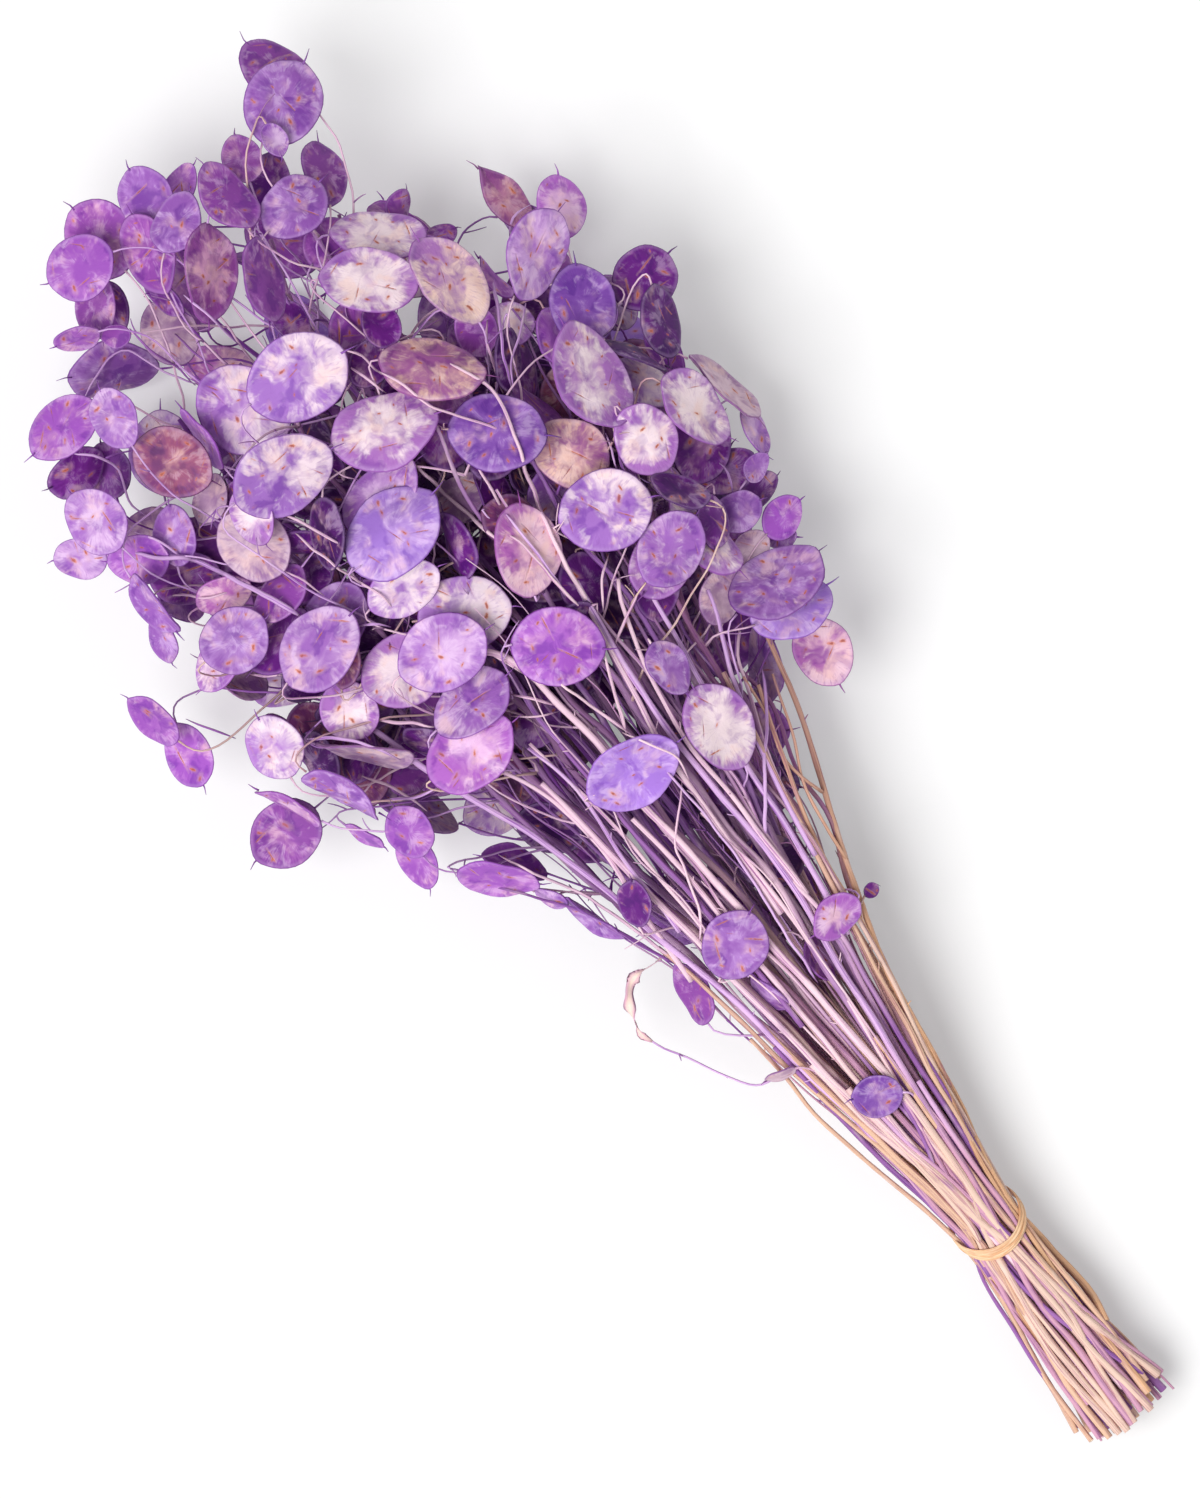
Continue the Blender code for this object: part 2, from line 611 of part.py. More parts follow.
def main():
    for old in list(bpy.data.objects):
        bpy.data.objects.remove(old, do_unlink=True)
    collection = bpy.data.collections.new("bunch_of_dried_honesty")
    bpy.context.scene.collection.children.link(collection)
    stems, missed = grow_bunch()
    parts = [add_part(collection, f"honesty_stem_{number:02d}", stem_mesh(stem), *DYED_PLANT)
             for number, stem in enumerate(stems, start=1)]
    parts.append(add_part(collection, "straw_tie", tie_mesh(stems), *STRAW))
    corners = [vertex.co for part in parts for vertex in part.data.vertices]
    low = [min(corner[k] for corner in corners) for k in range(3)]
    high = [max(corner[k] for corner in corners) for k in range(3)]
    for part in parts:
        part.location = (-(low[0] + high[0]) / 2, -(low[1] + high[1]) / 2, -low[2])
    print(len(stems), "stems,", sum(len(stem.twigs) for stem in stems), "pods, no room at", missed)
    print("size in mm:", [round((top - bottom) / MM, 1) for bottom, top in zip(low, high)])
    print("lowest stem:", round(min(stem.point(stem.start).z for stem in stems) - low[2] / MM, 1))


main()
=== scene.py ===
import math
import random

import bpy
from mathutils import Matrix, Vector, noise
from mathutils.bvhtree import BVHTree


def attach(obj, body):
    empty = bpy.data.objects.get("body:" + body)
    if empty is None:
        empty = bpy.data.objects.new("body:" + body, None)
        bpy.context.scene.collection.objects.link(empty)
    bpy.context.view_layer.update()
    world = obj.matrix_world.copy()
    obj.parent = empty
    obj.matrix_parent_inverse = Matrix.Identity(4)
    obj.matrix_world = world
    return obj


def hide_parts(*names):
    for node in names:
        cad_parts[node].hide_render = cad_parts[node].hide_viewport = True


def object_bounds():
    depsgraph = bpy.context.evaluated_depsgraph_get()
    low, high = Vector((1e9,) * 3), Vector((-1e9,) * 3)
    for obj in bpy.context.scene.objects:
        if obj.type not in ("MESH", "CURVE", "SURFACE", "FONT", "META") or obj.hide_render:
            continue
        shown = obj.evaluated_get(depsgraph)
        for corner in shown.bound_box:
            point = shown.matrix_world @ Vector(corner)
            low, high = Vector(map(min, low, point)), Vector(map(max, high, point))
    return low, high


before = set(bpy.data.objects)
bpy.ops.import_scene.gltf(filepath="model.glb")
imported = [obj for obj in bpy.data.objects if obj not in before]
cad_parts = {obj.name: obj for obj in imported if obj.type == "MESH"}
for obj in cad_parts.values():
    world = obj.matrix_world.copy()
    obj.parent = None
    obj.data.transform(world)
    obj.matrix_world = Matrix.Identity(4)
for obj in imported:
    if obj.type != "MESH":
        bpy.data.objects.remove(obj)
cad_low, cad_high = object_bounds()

# ---------------------------------------------------------------------------------------------
# The cut stems, where they stand. Thirty-odd dried flower stems are gathered in one hand and
# bound once, so they pass through the tie in a close oval and open out on both sides of it.
# Lengths are in millimetres from the middle of the tie: +Y to the head, +X across, +Z up.
MM = 0.001
SEED = 41
BUNDLE_HALF_WIDTH = 12.6
BUNDLE_HALF_HEIGHT = 10.4
STEM_SPACING = 3.5
STEM_RADII = (1.3, 1.6)
PACKING_SLACK = 0.6
FLARE_UP = 46.0
FLARE_DOWN = 72.0
FLATTENING = 0.70
TWIST = 0.45
BEND = 0.8
BEND_LENGTH = 47.0
AXIS_AT_TIE = 26.0
AXIS_SLOPE = 0.108
AXIS_SAG = 0.00007
CUT_END = -84.0
CUT_STAGGER = 7.0
STEM_SIDES = 6
STEM_TIP_RADIUS = 0.75
LONGEST_STEM = 478.0
OUTER_STEM_LOSS = 165.0
STEM_END_STAGGER = (-22.0, 14.0)
FIRST_NODE = 62.0
NODE_PITCH = 27.0
NODE_LENGTH = 2.6


def even_steps(start, end, count):
    """Distances from start to end in equal steps."""
    return [start + (end - start) * k / count for k in range(count + 1)]


def spread(y):
    """How many times wider than at the tie the bundle is at a distance y from it."""
    return math.hypot(1.0, y / (FLARE_UP if y > 0 else FLARE_DOWN))


def axis_height(y):
    """Height of the middle of the bundle above the surface that it lies on."""
    return AXIS_AT_TIE + AXIS_SLOPE * y - AXIS_SAG * y * y


class Stem:
    """One cut flower stem: its line through the tie, its radius and the twigs that it bears."""

    def __init__(self, x0, z0, chance):
        self.x0 = x0
        self.z0 = z0
        self.radius = chance.uniform(*STEM_RADII)
        edge = math.hypot(x0 / BUNDLE_HALF_WIDTH, z0 / BUNDLE_HALF_HEIGHT)
        self.start = CUT_END + chance.uniform(-CUT_STAGGER, CUT_STAGGER)
        self.end = LONGEST_STEM - OUTER_STEM_LOSS * edge * edge + chance.uniform(*STEM_END_STAGGER)
        self.bend = [chance.uniform(-BEND, BEND) for _ in range(2)]
        self.phase = [chance.uniform(0.0, math.tau) for _ in range(2)]
        self.taken = []
        self.twigs = []

    def point(self, y):
        """Middle of the stem at a distance y from the tie."""
        grow = spread(y)
        turn = TWIST * math.atan(y / FLARE_UP)
        x = self.x0 * math.cos(turn) - self.z0 * math.sin(turn)
        z = self.x0 * math.sin(turn) + self.z0 * math.cos(turn)
        rise = 1.0 + (grow - 1.0) * FLATTENING
        bend = [size * (grow - 1.0) * math.sin(y / BEND_LENGTH + phase)
                for size, phase in zip(self.bend, self.phase)]
        return Vector((x * grow + bend[0], y, axis_height(y) + z * rise + bend[1]))

    def frame(self, y):
        """Direction of growth and the two directions across the stem at y."""
        along = (self.point(y + 2.0) - self.point(y - 2.0)).normalized()
        across = (Vector((1, 0, 0)) - along * along.x).normalized()
        return along, across, across.cross(along)

    def radius_at(self, y):
        part = max(0.0, y) / self.end
        return self.radius + (STEM_TIP_RADIUS - self.radius) * part ** 1.5

    def ring(self, y, extra=0.0):
        """Corners of the stem's plain section at y."""
        middle = self.point(y)
        _, across, up = self.frame(y)
        radius = self.radius_at(y) + extra
        corners = []
        for side in range(STEM_SIDES):
            angle = math.tau * side / STEM_SIDES
            corners.append(middle + (across * math.cos(angle) + up * math.sin(angle)) * radius)
        return corners

    def sockets(self):
        """Places where a twig can leave the stem: node, side, point and outward direction."""
        y = FIRST_NODE
        while y < self.end - NODE_LENGTH:
            middle = self.point(y)
            along, across, up = self.frame(y)
            for side in range(STEM_SIDES):
                angle = math.tau * (side + 0.5) / STEM_SIDES
                out = across * math.cos(angle) + up * math.sin(angle)
                yield y, side, middle + out * self.radius_at(y), out, along
            y += NODE_PITCH

    def is_free(self, y, side):
        """No twig may leave the same node from the same or the next side."""
        for other_y, other_side in self.taken:
            step = abs(side - other_side)
            if other_y == y and min(step, STEM_SIDES - step) < 2:
                return False
        return True


def packed_stems(chance):
    """Stems on a close-packed pattern that fills the oval inside the tie."""
    packed = []
    row_height = STEM_SPACING * math.sqrt(3) / 2
    rows = int(BUNDLE_HALF_HEIGHT / row_height) + 1
    columns = int(BUNDLE_HALF_WIDTH / STEM_SPACING) + 1
    inset = max(STEM_RADII) - PACKING_SLACK
    for row in range(-rows, rows + 1):
        for column in range(-columns, columns + 1):
            x = (column + 0.5 * (row % 2)) * STEM_SPACING
            z = row * row_height
            across = x / (BUNDLE_HALF_WIDTH - inset)
            up = z / (BUNDLE_HALF_HEIGHT - inset)
            if math.hypot(across, up) <= 1.0:
                packed.append(Stem(x, z, chance))
    return packed


chance = random.Random(SEED)
stems = packed_stems(chance)

# ---------------------------------------------------------------------------------------------
# The seed pods and their twigs, where they hang. Honesty bears flat oval pods on thin side
# twigs all round its stems. In the head they overlap like scales, flat side out, and each one
# has its own dye: the bath took unevenly, so that some stayed cream.
TWIG_RADIUS = 0.55
SHORTEST_TWIG = 7.0
LONGEST_TWIG = 84.0
TWIGS_TRIED = 16
BENT_TWIG = 42.0
POD_THICKNESS = 1.8
POD_ASPECT = 0.82
POD_STATIONS = ((0.13, 0.67), (0.45, 1.0), (0.80, 0.80))
BEAK_SHARE = 0.15
LAYER_DEPTH = 13.0
UPPER_LEAN = 0.42
FLANK_LEAN = 2.0
CLEARANCE = 0.35
SURFACE_GAP = 1.2
TEST_HEIGHTS = (0, -3, 3, -6, 6, -9, 9, -12, 12, -16, -20, -25, -30)
TEST_PITCHES = (0, 9, -9, 18, -18)
STEM_TESTS = 26

# The head at distances from the tie: middle across the bunch, half width and half height.
HEAD = (
    (30.0, -4.0, 20.0, 14.0),
    (100.0, -2.0, 34.0, 26.0),
    (160.0, 2.0, 50.0, 38.0),
    (210.0, 2.0, 72.0, 48.0),
    (260.0, 1.0, 101.0, 57.0),
    (320.0, -4.0, 127.0, 63.0),
    (380.0, -3.0, 127.0, 63.0),
    (420.0, -10.0, 123.0, 59.0),
    (450.0, -24.0, 94.0, 54.0),
    (480.0, -30.0, 84.0, 48.0),
    (510.0, -7.0, 66.0, 40.0),
    (545.0, 42.0, 24.0, 20.0),
)
HEAD_CENTRE = 350.0
HEAD_REACH = 190.0

# The pods on the upper side of the head: place across and along the bunch, heading of the beak
# in degrees from +Y towards +X, length, width as it shows from above, layer below the top, dye.
UPPER_PODS = (
    # the far end
    (48, 526, -5, 36, 27, 1, "purple"), (43, 516, 62, 37, 30, 0, "violet"),
    (31, 506, 190, 14, 11, 0, "lilac"), (-46, 517, -8, 33, 31, 1, "purple"),
    (-58, 512, -75, 29, 26, 0, "magenta"), (-62, 497, 200, 26, 20, 2, "purple"),
    (-59, 494, 190, 22, 12, 3, "dark"), (-76, 491, -70, 19, 8, 1, "magenta"),
    (-63, 483, -60, 12, 9, 2, "purple"), (-22, 519, 4, 26, 22, 1, "violet"),
    (-8, 515, 75, 18, 14, 2, "magenta"), (-33, 500, 15, 33, 22, 1, "purple"),
    (-18, 503, 58, 25, 20, 0, "violet"), (-20, 480, 202, 38, 19, 0, "streaked"),
    (-39, 484, 165, 20, 9, 2, "dark"), (-46, 472, 5, 27, 22, 3, "mauve"),
    (3, 499, 4, 31, 20, 0, "purple"), (17, 508, 20, 20, 16, 1, "purple"),
    (20, 495, 60, 24, 17, 2, "dark"), (22, 481, 80, 29, 24, 0, "violet"),
    (39, 485, 30, 27, 19, 1, "purple"), (-5, 465, 215, 34, 15, 0, "purple"),
    (-3, 476, 100, 16, 9, 1, "dark"), (-6, 446, 185, 20, 14, 2, "dark"),
    (24, 463, 70, 22, 18, 2, "purple"), (41, 453, 125, 37, 26, 1, "cream"),
    (54, 457, 60, 16, 10, 2, "purple"), (61, 439, 100, 13, 10, 2, "dark"),
    (27, 440, 130, 38, 29, 0, "cream"), (52, 422, 2, 40, 28, 0, "apricot"),
    (10, 427, 20, 27, 20, 1, "purple"),
    # the left shoulder
    (-101, 467, -100, 31, 24, 1, "magenta"), (-82, 457, 5, 25, 20, 0, "lilac"),
    (-107, 450, -80, 26, 18, 2, "dark"), (-97, 444, 20, 22, 15, 3, "dark"),
    (-112, 430, -10, 28, 24, 0, "lilac"), (-126, 423, -60, 22, 17, 1, "lilac"),
    (-108, 409, -60, 25, 20, 1, "magenta"), (-92, 408, 30, 24, 19, 2, "violet"),
    (-75, 430, 150, 33, 27, 1, "maroon"), (-72, 411, 60, 20, 15, 3, "mauve"),
    (-114, 391, 175, 28, 16, 0, "violet"), (-119, 379, 200, 20, 14, 1, "violet"),
    (-98, 393, 120, 28, 20, 3, "dark"), (-90, 378, 100, 23, 15, 2, "pink"),
    (-69, 386, 165, 31, 27, 1, "mauve"), (-62, 395, 195, 24, 18, 0, "cream"),
    (-44, 400, 102, 41, 29, 0, "marbled"), (-41, 431, -20, 39, 34, 1, "half"),
    (-17, 427, 98, 41, 33, 0, "marbled"), (-60, 431, 0, 28, 9, 2, "magenta"),
    # the middle
    (27, 399, 135, 41, 27, 0, "amber"), (-2, 391, 110, 42, 31, 0, "cream"),
    (32, 364, 130, 38, 31, 0, "indigo"), (-23, 358, 84, 42, 32, 0, "blue"),
    (-18, 371, 80, 36, 24, 1, "lilac"), (-33, 338, 95, 30, 21, 1, "half"),
    (-73, 339, 80, 37, 29, 0, "lilac"), (-61, 344, 70, 31, 25, 1, "violet"),
    (-97, 361, 92, 29, 26, 0, "violet"), (-108, 359, 250, 25, 18, 1, "cream"),
    (5, 353, 100, 25, 18, 2, "mauve"), (0, 335, 95, 32, 20, 2, "violet"),
    (14, 321, 28, 36, 27, 0, "pink"), (37, 333, 70, 28, 20, 2, "violet"),
    (47, 315, 110, 37, 32, 0, "marbled"), (50, 341, 150, 32, 27, 1, "amber"),
    (73, 360, 12, 44, 32, 0, "cream"), (89, 346, 150, 28, 20, 1, "half"),
    (76, 328, 170, 30, 26, 0, "cream"), (98, 326, 150, 36, 27, 0, "cream"),
    (112, 326, 155, 36, 18, 1, "mauve"), (-36, 309, 98, 36, 30, 0, "lilac"),
    (-53, 313, 280, 32, 29, 1, "cream"), (-20, 316, 118, 36, 30, 1, "half"),
    (-59, 363, 60, 24, 16, 3, "dark"), (54, 378, 30, 28, 14, 3, "dark"),
    # the right shoulder
    (85, 410, 65, 38, 24, 0, "lilac"), (105, 420, 35, 26, 21, 1, "orchid"),
    (89, 436, -2, 32, 13, 2, "leaf"), (61, 395, 120, 20, 18, 2, "cream"),
    (88, 384, 30, 33, 27, 1, "indigo"), (72, 380, 190, 24, 17, 2, "magenta"),
    (114, 378, 80, 29, 25, 1, "dark"), (108, 361, 200, 29, 20, 1, "deep"),
    (67, 413, 0, 20, 9, 2, "purple"), (112, 305, 190, 20, 13, 1, "lilac"),
    (93, 300, 100, 27, 18, 2, "dark"), (99, 286, 90, 20, 13, 2, "dark"),
    (104, 294, 70, 13, 10, 1, "violet"), (73, 309, 170, 20, 14, 2, "mauve"),
    # the left side
    (-141, 356, -15, 25, 18, 0, "magenta"), (-138, 337, 190, 26, 21, 1, "magenta"),
    (-110, 319, 10, 26, 23, 0, "half"), (-119, 298, -30, 28, 12, 0, "orchid"),
    (-127, 290, -95, 30, 26, 1, "purple"), (-99, 289, 155, 33, 17, 0, "violet"),
    (-83, 297, 152, 38, 14, 1, "mauve"), (-78, 313, 190, 25, 23, 1, "cream"),
    (-103, 271, 155, 17, 9, 1, "magenta"), (-88, 262, 10, 22, 19, 0, "magenta"),
    (-92, 251, 200, 24, 18, 1, "magenta"), (-71, 227, 152, 32, 21, 0, "magenta"),
    (-60, 208, 150, 14, 9, 1, "lilac"), (-51, 192, 152, 28, 13, 1, "violet"),
    # the tie side of the head
    (58, 288, 75, 32, 26, 0, "lilac"), (51, 286, 250, 28, 24, 1, "cream"),
    (72, 285, 170, 38, 24, 1, "cream"), (88, 284, 100, 20, 16, 1, "violet"),
    (101, 272, 85, 20, 16, 1, "magenta"), (84, 270, 90, 16, 13, 2, "mauve"),
    (96, 267, 130, 14, 11, 2, "lilac"), (63, 262, 60, 23, 18, 2, "mauve"),
    (83, 253, 92, 41, 24, 1, "violet"), (83, 243, 100, 35, 26, 0, "clear"),
    (82, 221, 188, 28, 21, 1, "pink"), (30, 252, 180, 23, 17, 0, "violet"),
    (32, 222, 2, 36, 28, 0, "cream"), (-5, 229, 95, 39, 29, 0, "clear"),
    (-50, 272, 90, 38, 28, 0, "orchid"), (-39, 287, 88, 34, 22, 1, "lilac"),
    (1, 284, 130, 36, 31, 0, "magenta"), (-23, 267, 60, 24, 19, 3, "dark"),
    # low on the stems
    (-35, 187, 30, 19, 14, 0, "dark"), (-37, 146, 20, 27, 17, 1, "purple"),
    (-14, 151, 60, 28, 26, 0, "violet"), (-15, 128, 170, 20, 9, 1, "violet"),
    (8, 127, 175, 20, 10, 1, "purple"), (24, 136, -90, 22, 17, 0, "orchid"),
    (41, 136, 90, 7, 6, 0, "dark"), (23, 194, 170, 22, 12, 1, "dark"),
    (-5, 71, -60, 20, 17, 0, "indigo"), (-30, 100, -80, 13, 6, 0, "mauve"),
)

# The pods underneath and on the flanks, in rows that follow the lower half of the head.
LOWER_PITCH = 38.0
LOWER_FROM = 178.0
LOWER_ROWS = 9
LOWER_INSET = 20.0
LOWER_LENGTH = (30.0, 38.0)
FLANK_PITCH = 31.0
FLANK_FROM = 232.0
FLANK_ROWS = 8
FLANK_INSET = (16.0, 26.0)
OUTER_DYES = ("violet", "magenta", "purple", "lilac", "orchid", "half", "pink", "blue", "mauve")

# Smaller, deeper-dyed pods fill the inside of the head. Their dark dyes are partly painted shade,
# for the dark inside of the head.
INNER_PITCH = 20.0
INNER_FROM = 150.0
INNER_ROWS = 18
INNER_LEVELS = (0.62, 0.34, 0.05, -0.25, -0.52, -0.78)
INNER_INSET = 18.0
INNER_OPEN_TO = 285.0
INNER_OPEN_INSET = 10.0
INNER_GROWTH = 5.0
INNER_LENGTH = (20.0, 33.0)
INNER_DYES_AND_SHADE = ("dark", "deep", "dark", "maroon", "deep", "purple", "deep", "dark")


def head_shape(y):
    """Middle, half width and half height of the head at a distance y from the tie."""
    if y <= HEAD[0][0]:
        return HEAD[0][1:]
    for near, far in zip(HEAD, HEAD[1:]):
        if y <= far[0]:
            part = (y - near[0]) / (far[0] - near[0])
            return [low + (high - low) * part for low, high in zip(near[1:], far[1:])]
    return HEAD[-1][1:]


class Pod:
    """A flat oval seed pod: its stalk end, its heading, its flat side and its size."""

    def __init__(self, base, along, face, length, width):
        self.base = base
        self.along = along
        self.face = face
        self.across = face.cross(along)
        self.length = length
        self.width = width

    def rings(self, extra=0.0):
        """Four-cornered sections from the stalk end to the tip of the beak."""
        sizes = [(0.0, TWIG_RADIUS, TWIG_RADIUS)]
        for part, share in POD_STATIONS:
            sizes.append((part, share * self.width / 2, share * POD_THICKNESS / 2))
        sizes.append((1.0, TWIG_RADIUS * 1.3, TWIG_RADIUS * 0.8))
        sizes.append((1.0 + BEAK_SHARE, TWIG_RADIUS * 0.45, TWIG_RADIUS * 0.45))
        for part, half_width, half_thick in sizes:
            middle = self.base + self.along * (part * self.length)
            side = self.across * (half_width + extra)
            top = self.face * (half_thick + extra)
            yield [middle + side, middle + top, middle - side, middle - top]

    def lowest(self):
        return min(corner.z for ring in self.rings() for corner in ring)


def make_pod(place, heading, length, plan_width, outward, pitch):
    """A pod whose flat side leans out with the head's surface, and rolls where it shows narrow."""
    middle, half_width, _ = head_shape(place.y)
    lean = max(-1.0, min(1.0, (place.x - middle) / half_width))
    tip = max(-0.6, min(1.0, (place.y - HEAD_CENTRE) / HEAD_REACH))
    over = 1.0 if place.z > axis_height(place.y) else -1.0
    face = Vector((outward * lean * over, 0.7 * outward * tip * over, 1.0)).normalized()
    angle = math.radians(heading)
    along = Vector((math.sin(angle), math.cos(angle), 0.0))
    along = (along - face * along.dot(face)).normalized()
    width = max(plan_width, POD_ASPECT * length)
    roll = math.acos(min(1.0, plan_width / width))
    across = face.cross(along)
    roll *= -1.0 if across.x * lean < 0 else 1.0
    face = (face * math.cos(roll) + across * math.sin(roll)).normalized()
    pitch = math.radians(pitch)
    along, face = (along * math.cos(pitch) + face * math.sin(pitch),
                   face * math.cos(pitch) - along * math.sin(pitch))
    return Pod(place - along * length / 2, along, face, length, width)


def twig_point(start, lead, pod, part):
    """Point of the curved twig that runs from its stem to the stalk end of a pod."""
    reach = (pod.base - start).length / 3.0
    handles = (start, start + lead * reach, pod.base - pod.along * reach, pod.base)
    weights = ((1 - part) ** 3, 3 * part * (1 - part) ** 2, 3 * part ** 2 * (1 - part), part ** 3)
    return sum((handle * weight for handle, weight in zip(handles, weights)), Vector())


def tube(rings):
    """A search tree of the closed tube through rings of corners, with its bounds."""
    rings = list(rings)
    sides = len(rings[0])
    corners = [corner for ring in rings for corner in ring]
    faces = [list(range(sides)), list(range(len(corners) - sides, len(corners)))]
    for row in range(len(rings) - 1):
        for side in range(sides):
            near = row * sides
            after = (side + 1) % sides
            faces.append([near + side, near + sides + side, near + sides + after, near + after])
    low = Vector(min(corner[k] for corner in corners) for k in range(3))
    high = Vector(max(corner[k] for corner in corners) for k in range(3))
    return BVHTree.FromPolygons(corners, faces), low, high


def twig_shape(start, lead, pod, extra):
    """The test tube of a twig, from its stem to its pod."""
    marks = [(start, lead)]
    for part in (0.4, 0.75) if (pod.base - start).length > BENT_TWIG else (0.55,):
        after = twig_point(start, lead, pod, part + 0.03)
        before = twig_point(start, lead, pod, part - 0.03)
        marks.append((twig_point(start, lead, pod, part), (after - before).normalized()))
    rings = []
    for middle, along in marks + [(pod.base, pod.along)]:
        radius = NODE_LENGTH / 2 if middle is start else TWIG_RADIUS
        side = along.orthogonal().normalized() * (radius + extra)
        top = along.cross(side)
        rings.append([middle + side, middle + top, middle - side, middle - top])
    return tube(rings)


def is_clear(shape, placed, bearer=None):
    """Whether a shape meets none of the placed ones, apart from the stem that bears it."""
    tree, low, high = shape
    for other, other_low, other_high, owner in placed:
        if owner is bearer:
            continue
        if any(low[k] > other_high[k] or high[k] < other_low[k] for k in range(3)):
            continue
        if tree.overlap(other):
            return False
    return True


def leaves_stem_cleanly(stem, start, lead, pod):
    """Whether a twig keeps clear of the stem that bears it."""
    for part in (0.35, 0.6, 0.85):
        point = twig_point(start, lead, pod, part)
        middle = stem.point(min(point.y, stem.end))
        if (point - middle).length < stem.radius + 3 * TWIG_RADIUS:
            return False
    return True


def find_twig(pod, placed):
    """The shortest clear twig from any free socket to the pod, or None."""
    choices = []
    for stem in stems:
        for y, side, start, out, along in stem.sockets():
            gap = pod.base - start
            distance = gap.length
            if not SHORTEST_TWIG < distance < LONGEST_TWIG or not stem.is_free(y, side):
                continue
            gap /= distance
            if gap.dot(out) < 0.2 or gap.dot(along) < -0.5:
                continue
            cost = distance * (1.9 - 0.8 * gap.dot(along) - 0.3 * gap.dot(pod.along))
            choices.append((cost, y, side, start, out, along, stem))
    choices.sort(key=lambda choice: choice[0])
    for _, y, side, start, out, along, stem in choices[:TWIGS_TRIED]:
        lead = (out + along * 0.8).normalized()
        if not leaves_stem_cleanly(stem, start, lead, pod):
            continue
        if is_clear(twig_shape(start, lead, pod, CLEARANCE), placed, bearer=stem):
            return stem, y, side, start, lead
    return None


def hang(placed, place, heading, length, plan_width, outward, dye):
    """Find room for one pod near its place, and grow a twig to it."""
    for height in TEST_HEIGHTS:
        for pitch in TEST_PITCHES:
            tried = place + Vector((0.0, 0.0, height))
            pod = make_pod(tried, heading, length, plan_width, outward, pitch)
            pod.base.z += max(0.0, SURFACE_GAP - pod.lowest())
            if not is_clear(tube(pod.rings(CLEARANCE)), placed):
                continue
            found = find_twig(pod, placed)
            if not found:
                continue
            stem, node, side, start, lead = found
            stem.taken.append((node, side))
            pod.dye = dye
            stem.twigs.append((start, lead, pod))
            placed.append((*tube(pod.rings()), pod))
            placed.append((*twig_shape(start, lead, pod, 0.0), pod))
            return True
    return False


def upper_places():
    """Places for the pods on the upper side, the top layer first."""
    rows = []
    for x, y, heading, length, plan_width, layer, dye in sorted(UPPER_PODS, key=lambda row: row[5]):
        middle, half_width, half_height = head_shape(y)
        lean = min(0.97, abs(x - middle) / half_width)
        z = axis_height(y) + half_height * math.sqrt(1 - lean * lean) - layer * LAYER_DEPTH
        rows.append((Vector((x, y, z)), heading, length, plan_width, UPPER_LEAN, dye))
    return rows


def lower_places(chance):
    """Places for the pods underneath, which the bunch lies on."""
    rows = []
    for row in range(LOWER_ROWS):
        y = LOWER_FROM + row * LOWER_PITCH + chance.uniform(-4, 4)
        middle, half_width, half_height = head_shape(y)
        reach = half_width - LOWER_INSET
        columns = max(1, round(2 * reach / LOWER_PITCH))
        for column in range(columns):
            x = middle - reach + 2 * reach * (column + 0.5) / columns + chance.uniform(-7, 7)
            lean = min(0.97, abs(x - middle) / half_width)
            z = axis_height(y) - half_height * 0.92 * math.sqrt(1 - lean * lean)
            length = chance.uniform(*LOWER_LENGTH)
            heading = math.degrees(math.atan2(x - middle, y - 200.0)) + chance.uniform(-60, 60)
            place = Vector((x, y + chance.uniform(-9, 9), z))
            plan_width = POD_ASPECT * length * chance.uniform(0.72, 1.0)
            dye = OUTER_DYES[len(rows) % len(OUTER_DYES)]
            rows.append((place, heading, length, plan_width, UPPER_LEAN, dye))
    return rows


def flank_places(chance):
    """Places for the steeper pods along both flanks."""
    rows = []
    for row in range(FLANK_ROWS):
        for side in (-1.0, 1.0):
            y = FLANK_FROM + row * FLANK_PITCH + chance.uniform(-9, 9)
            middle, half_width, half_height = head_shape(y)
            x = middle + side * (half_width - chance.uniform(*FLANK_INSET))
            z = axis_height(y) - half_height * chance.uniform(0.05, 0.5)
            length = chance.uniform(*LOWER_LENGTH) - 3.0
            heading = side * 60.0 + chance.uniform(-45, 45)
            dye = OUTER_DYES[(len(rows) * 2 + 1) % len(OUTER_DYES)]
            rows.append((Vector((x, y, z)), heading, length, POD_ASPECT * length, FLANK_LEAN, dye))
    return rows


def inner_places(chance):
    """Places for the small pods inside the head."""
    rows = []
    for row in range(INNER_ROWS):
        y = INNER_FROM + row * INNER_PITCH
        middle, half_width, half_height = head_shape(y)
        for level in INNER_LEVELS:
            if y < INNER_OPEN_TO and level > 0.0:
                continue
            inset = INNER_INSET + (INNER_OPEN_INSET if y < INNER_OPEN_TO else 0.0)
            reach = (half_width - inset) * math.sqrt(1 - level * level)
            columns = max(1, round(2 * reach / INNER_PITCH))
            for column in range(columns):
                x = middle - reach + 2 * reach * (column + 0.5) / columns + chance.uniform(-8, 8)
                z = axis_height(y) + half_height * level + chance.uniform(-5, 5)
                length = chance.uniform(*INNER_LENGTH) + (INNER_GROWTH if level < 0.0 else 0.0)
                place = Vector((x, y + chance.uniform(-10, 10), z))
                heading = chance.uniform(-170, 170)
                plan_width = POD_ASPECT * length * chance.uniform(0.4, 1.0)
                dye = chance.choice(INNER_DYES_AND_SHADE)
                rows.append((place, heading, length, plan_width, UPPER_LEAN, dye))
    return rows


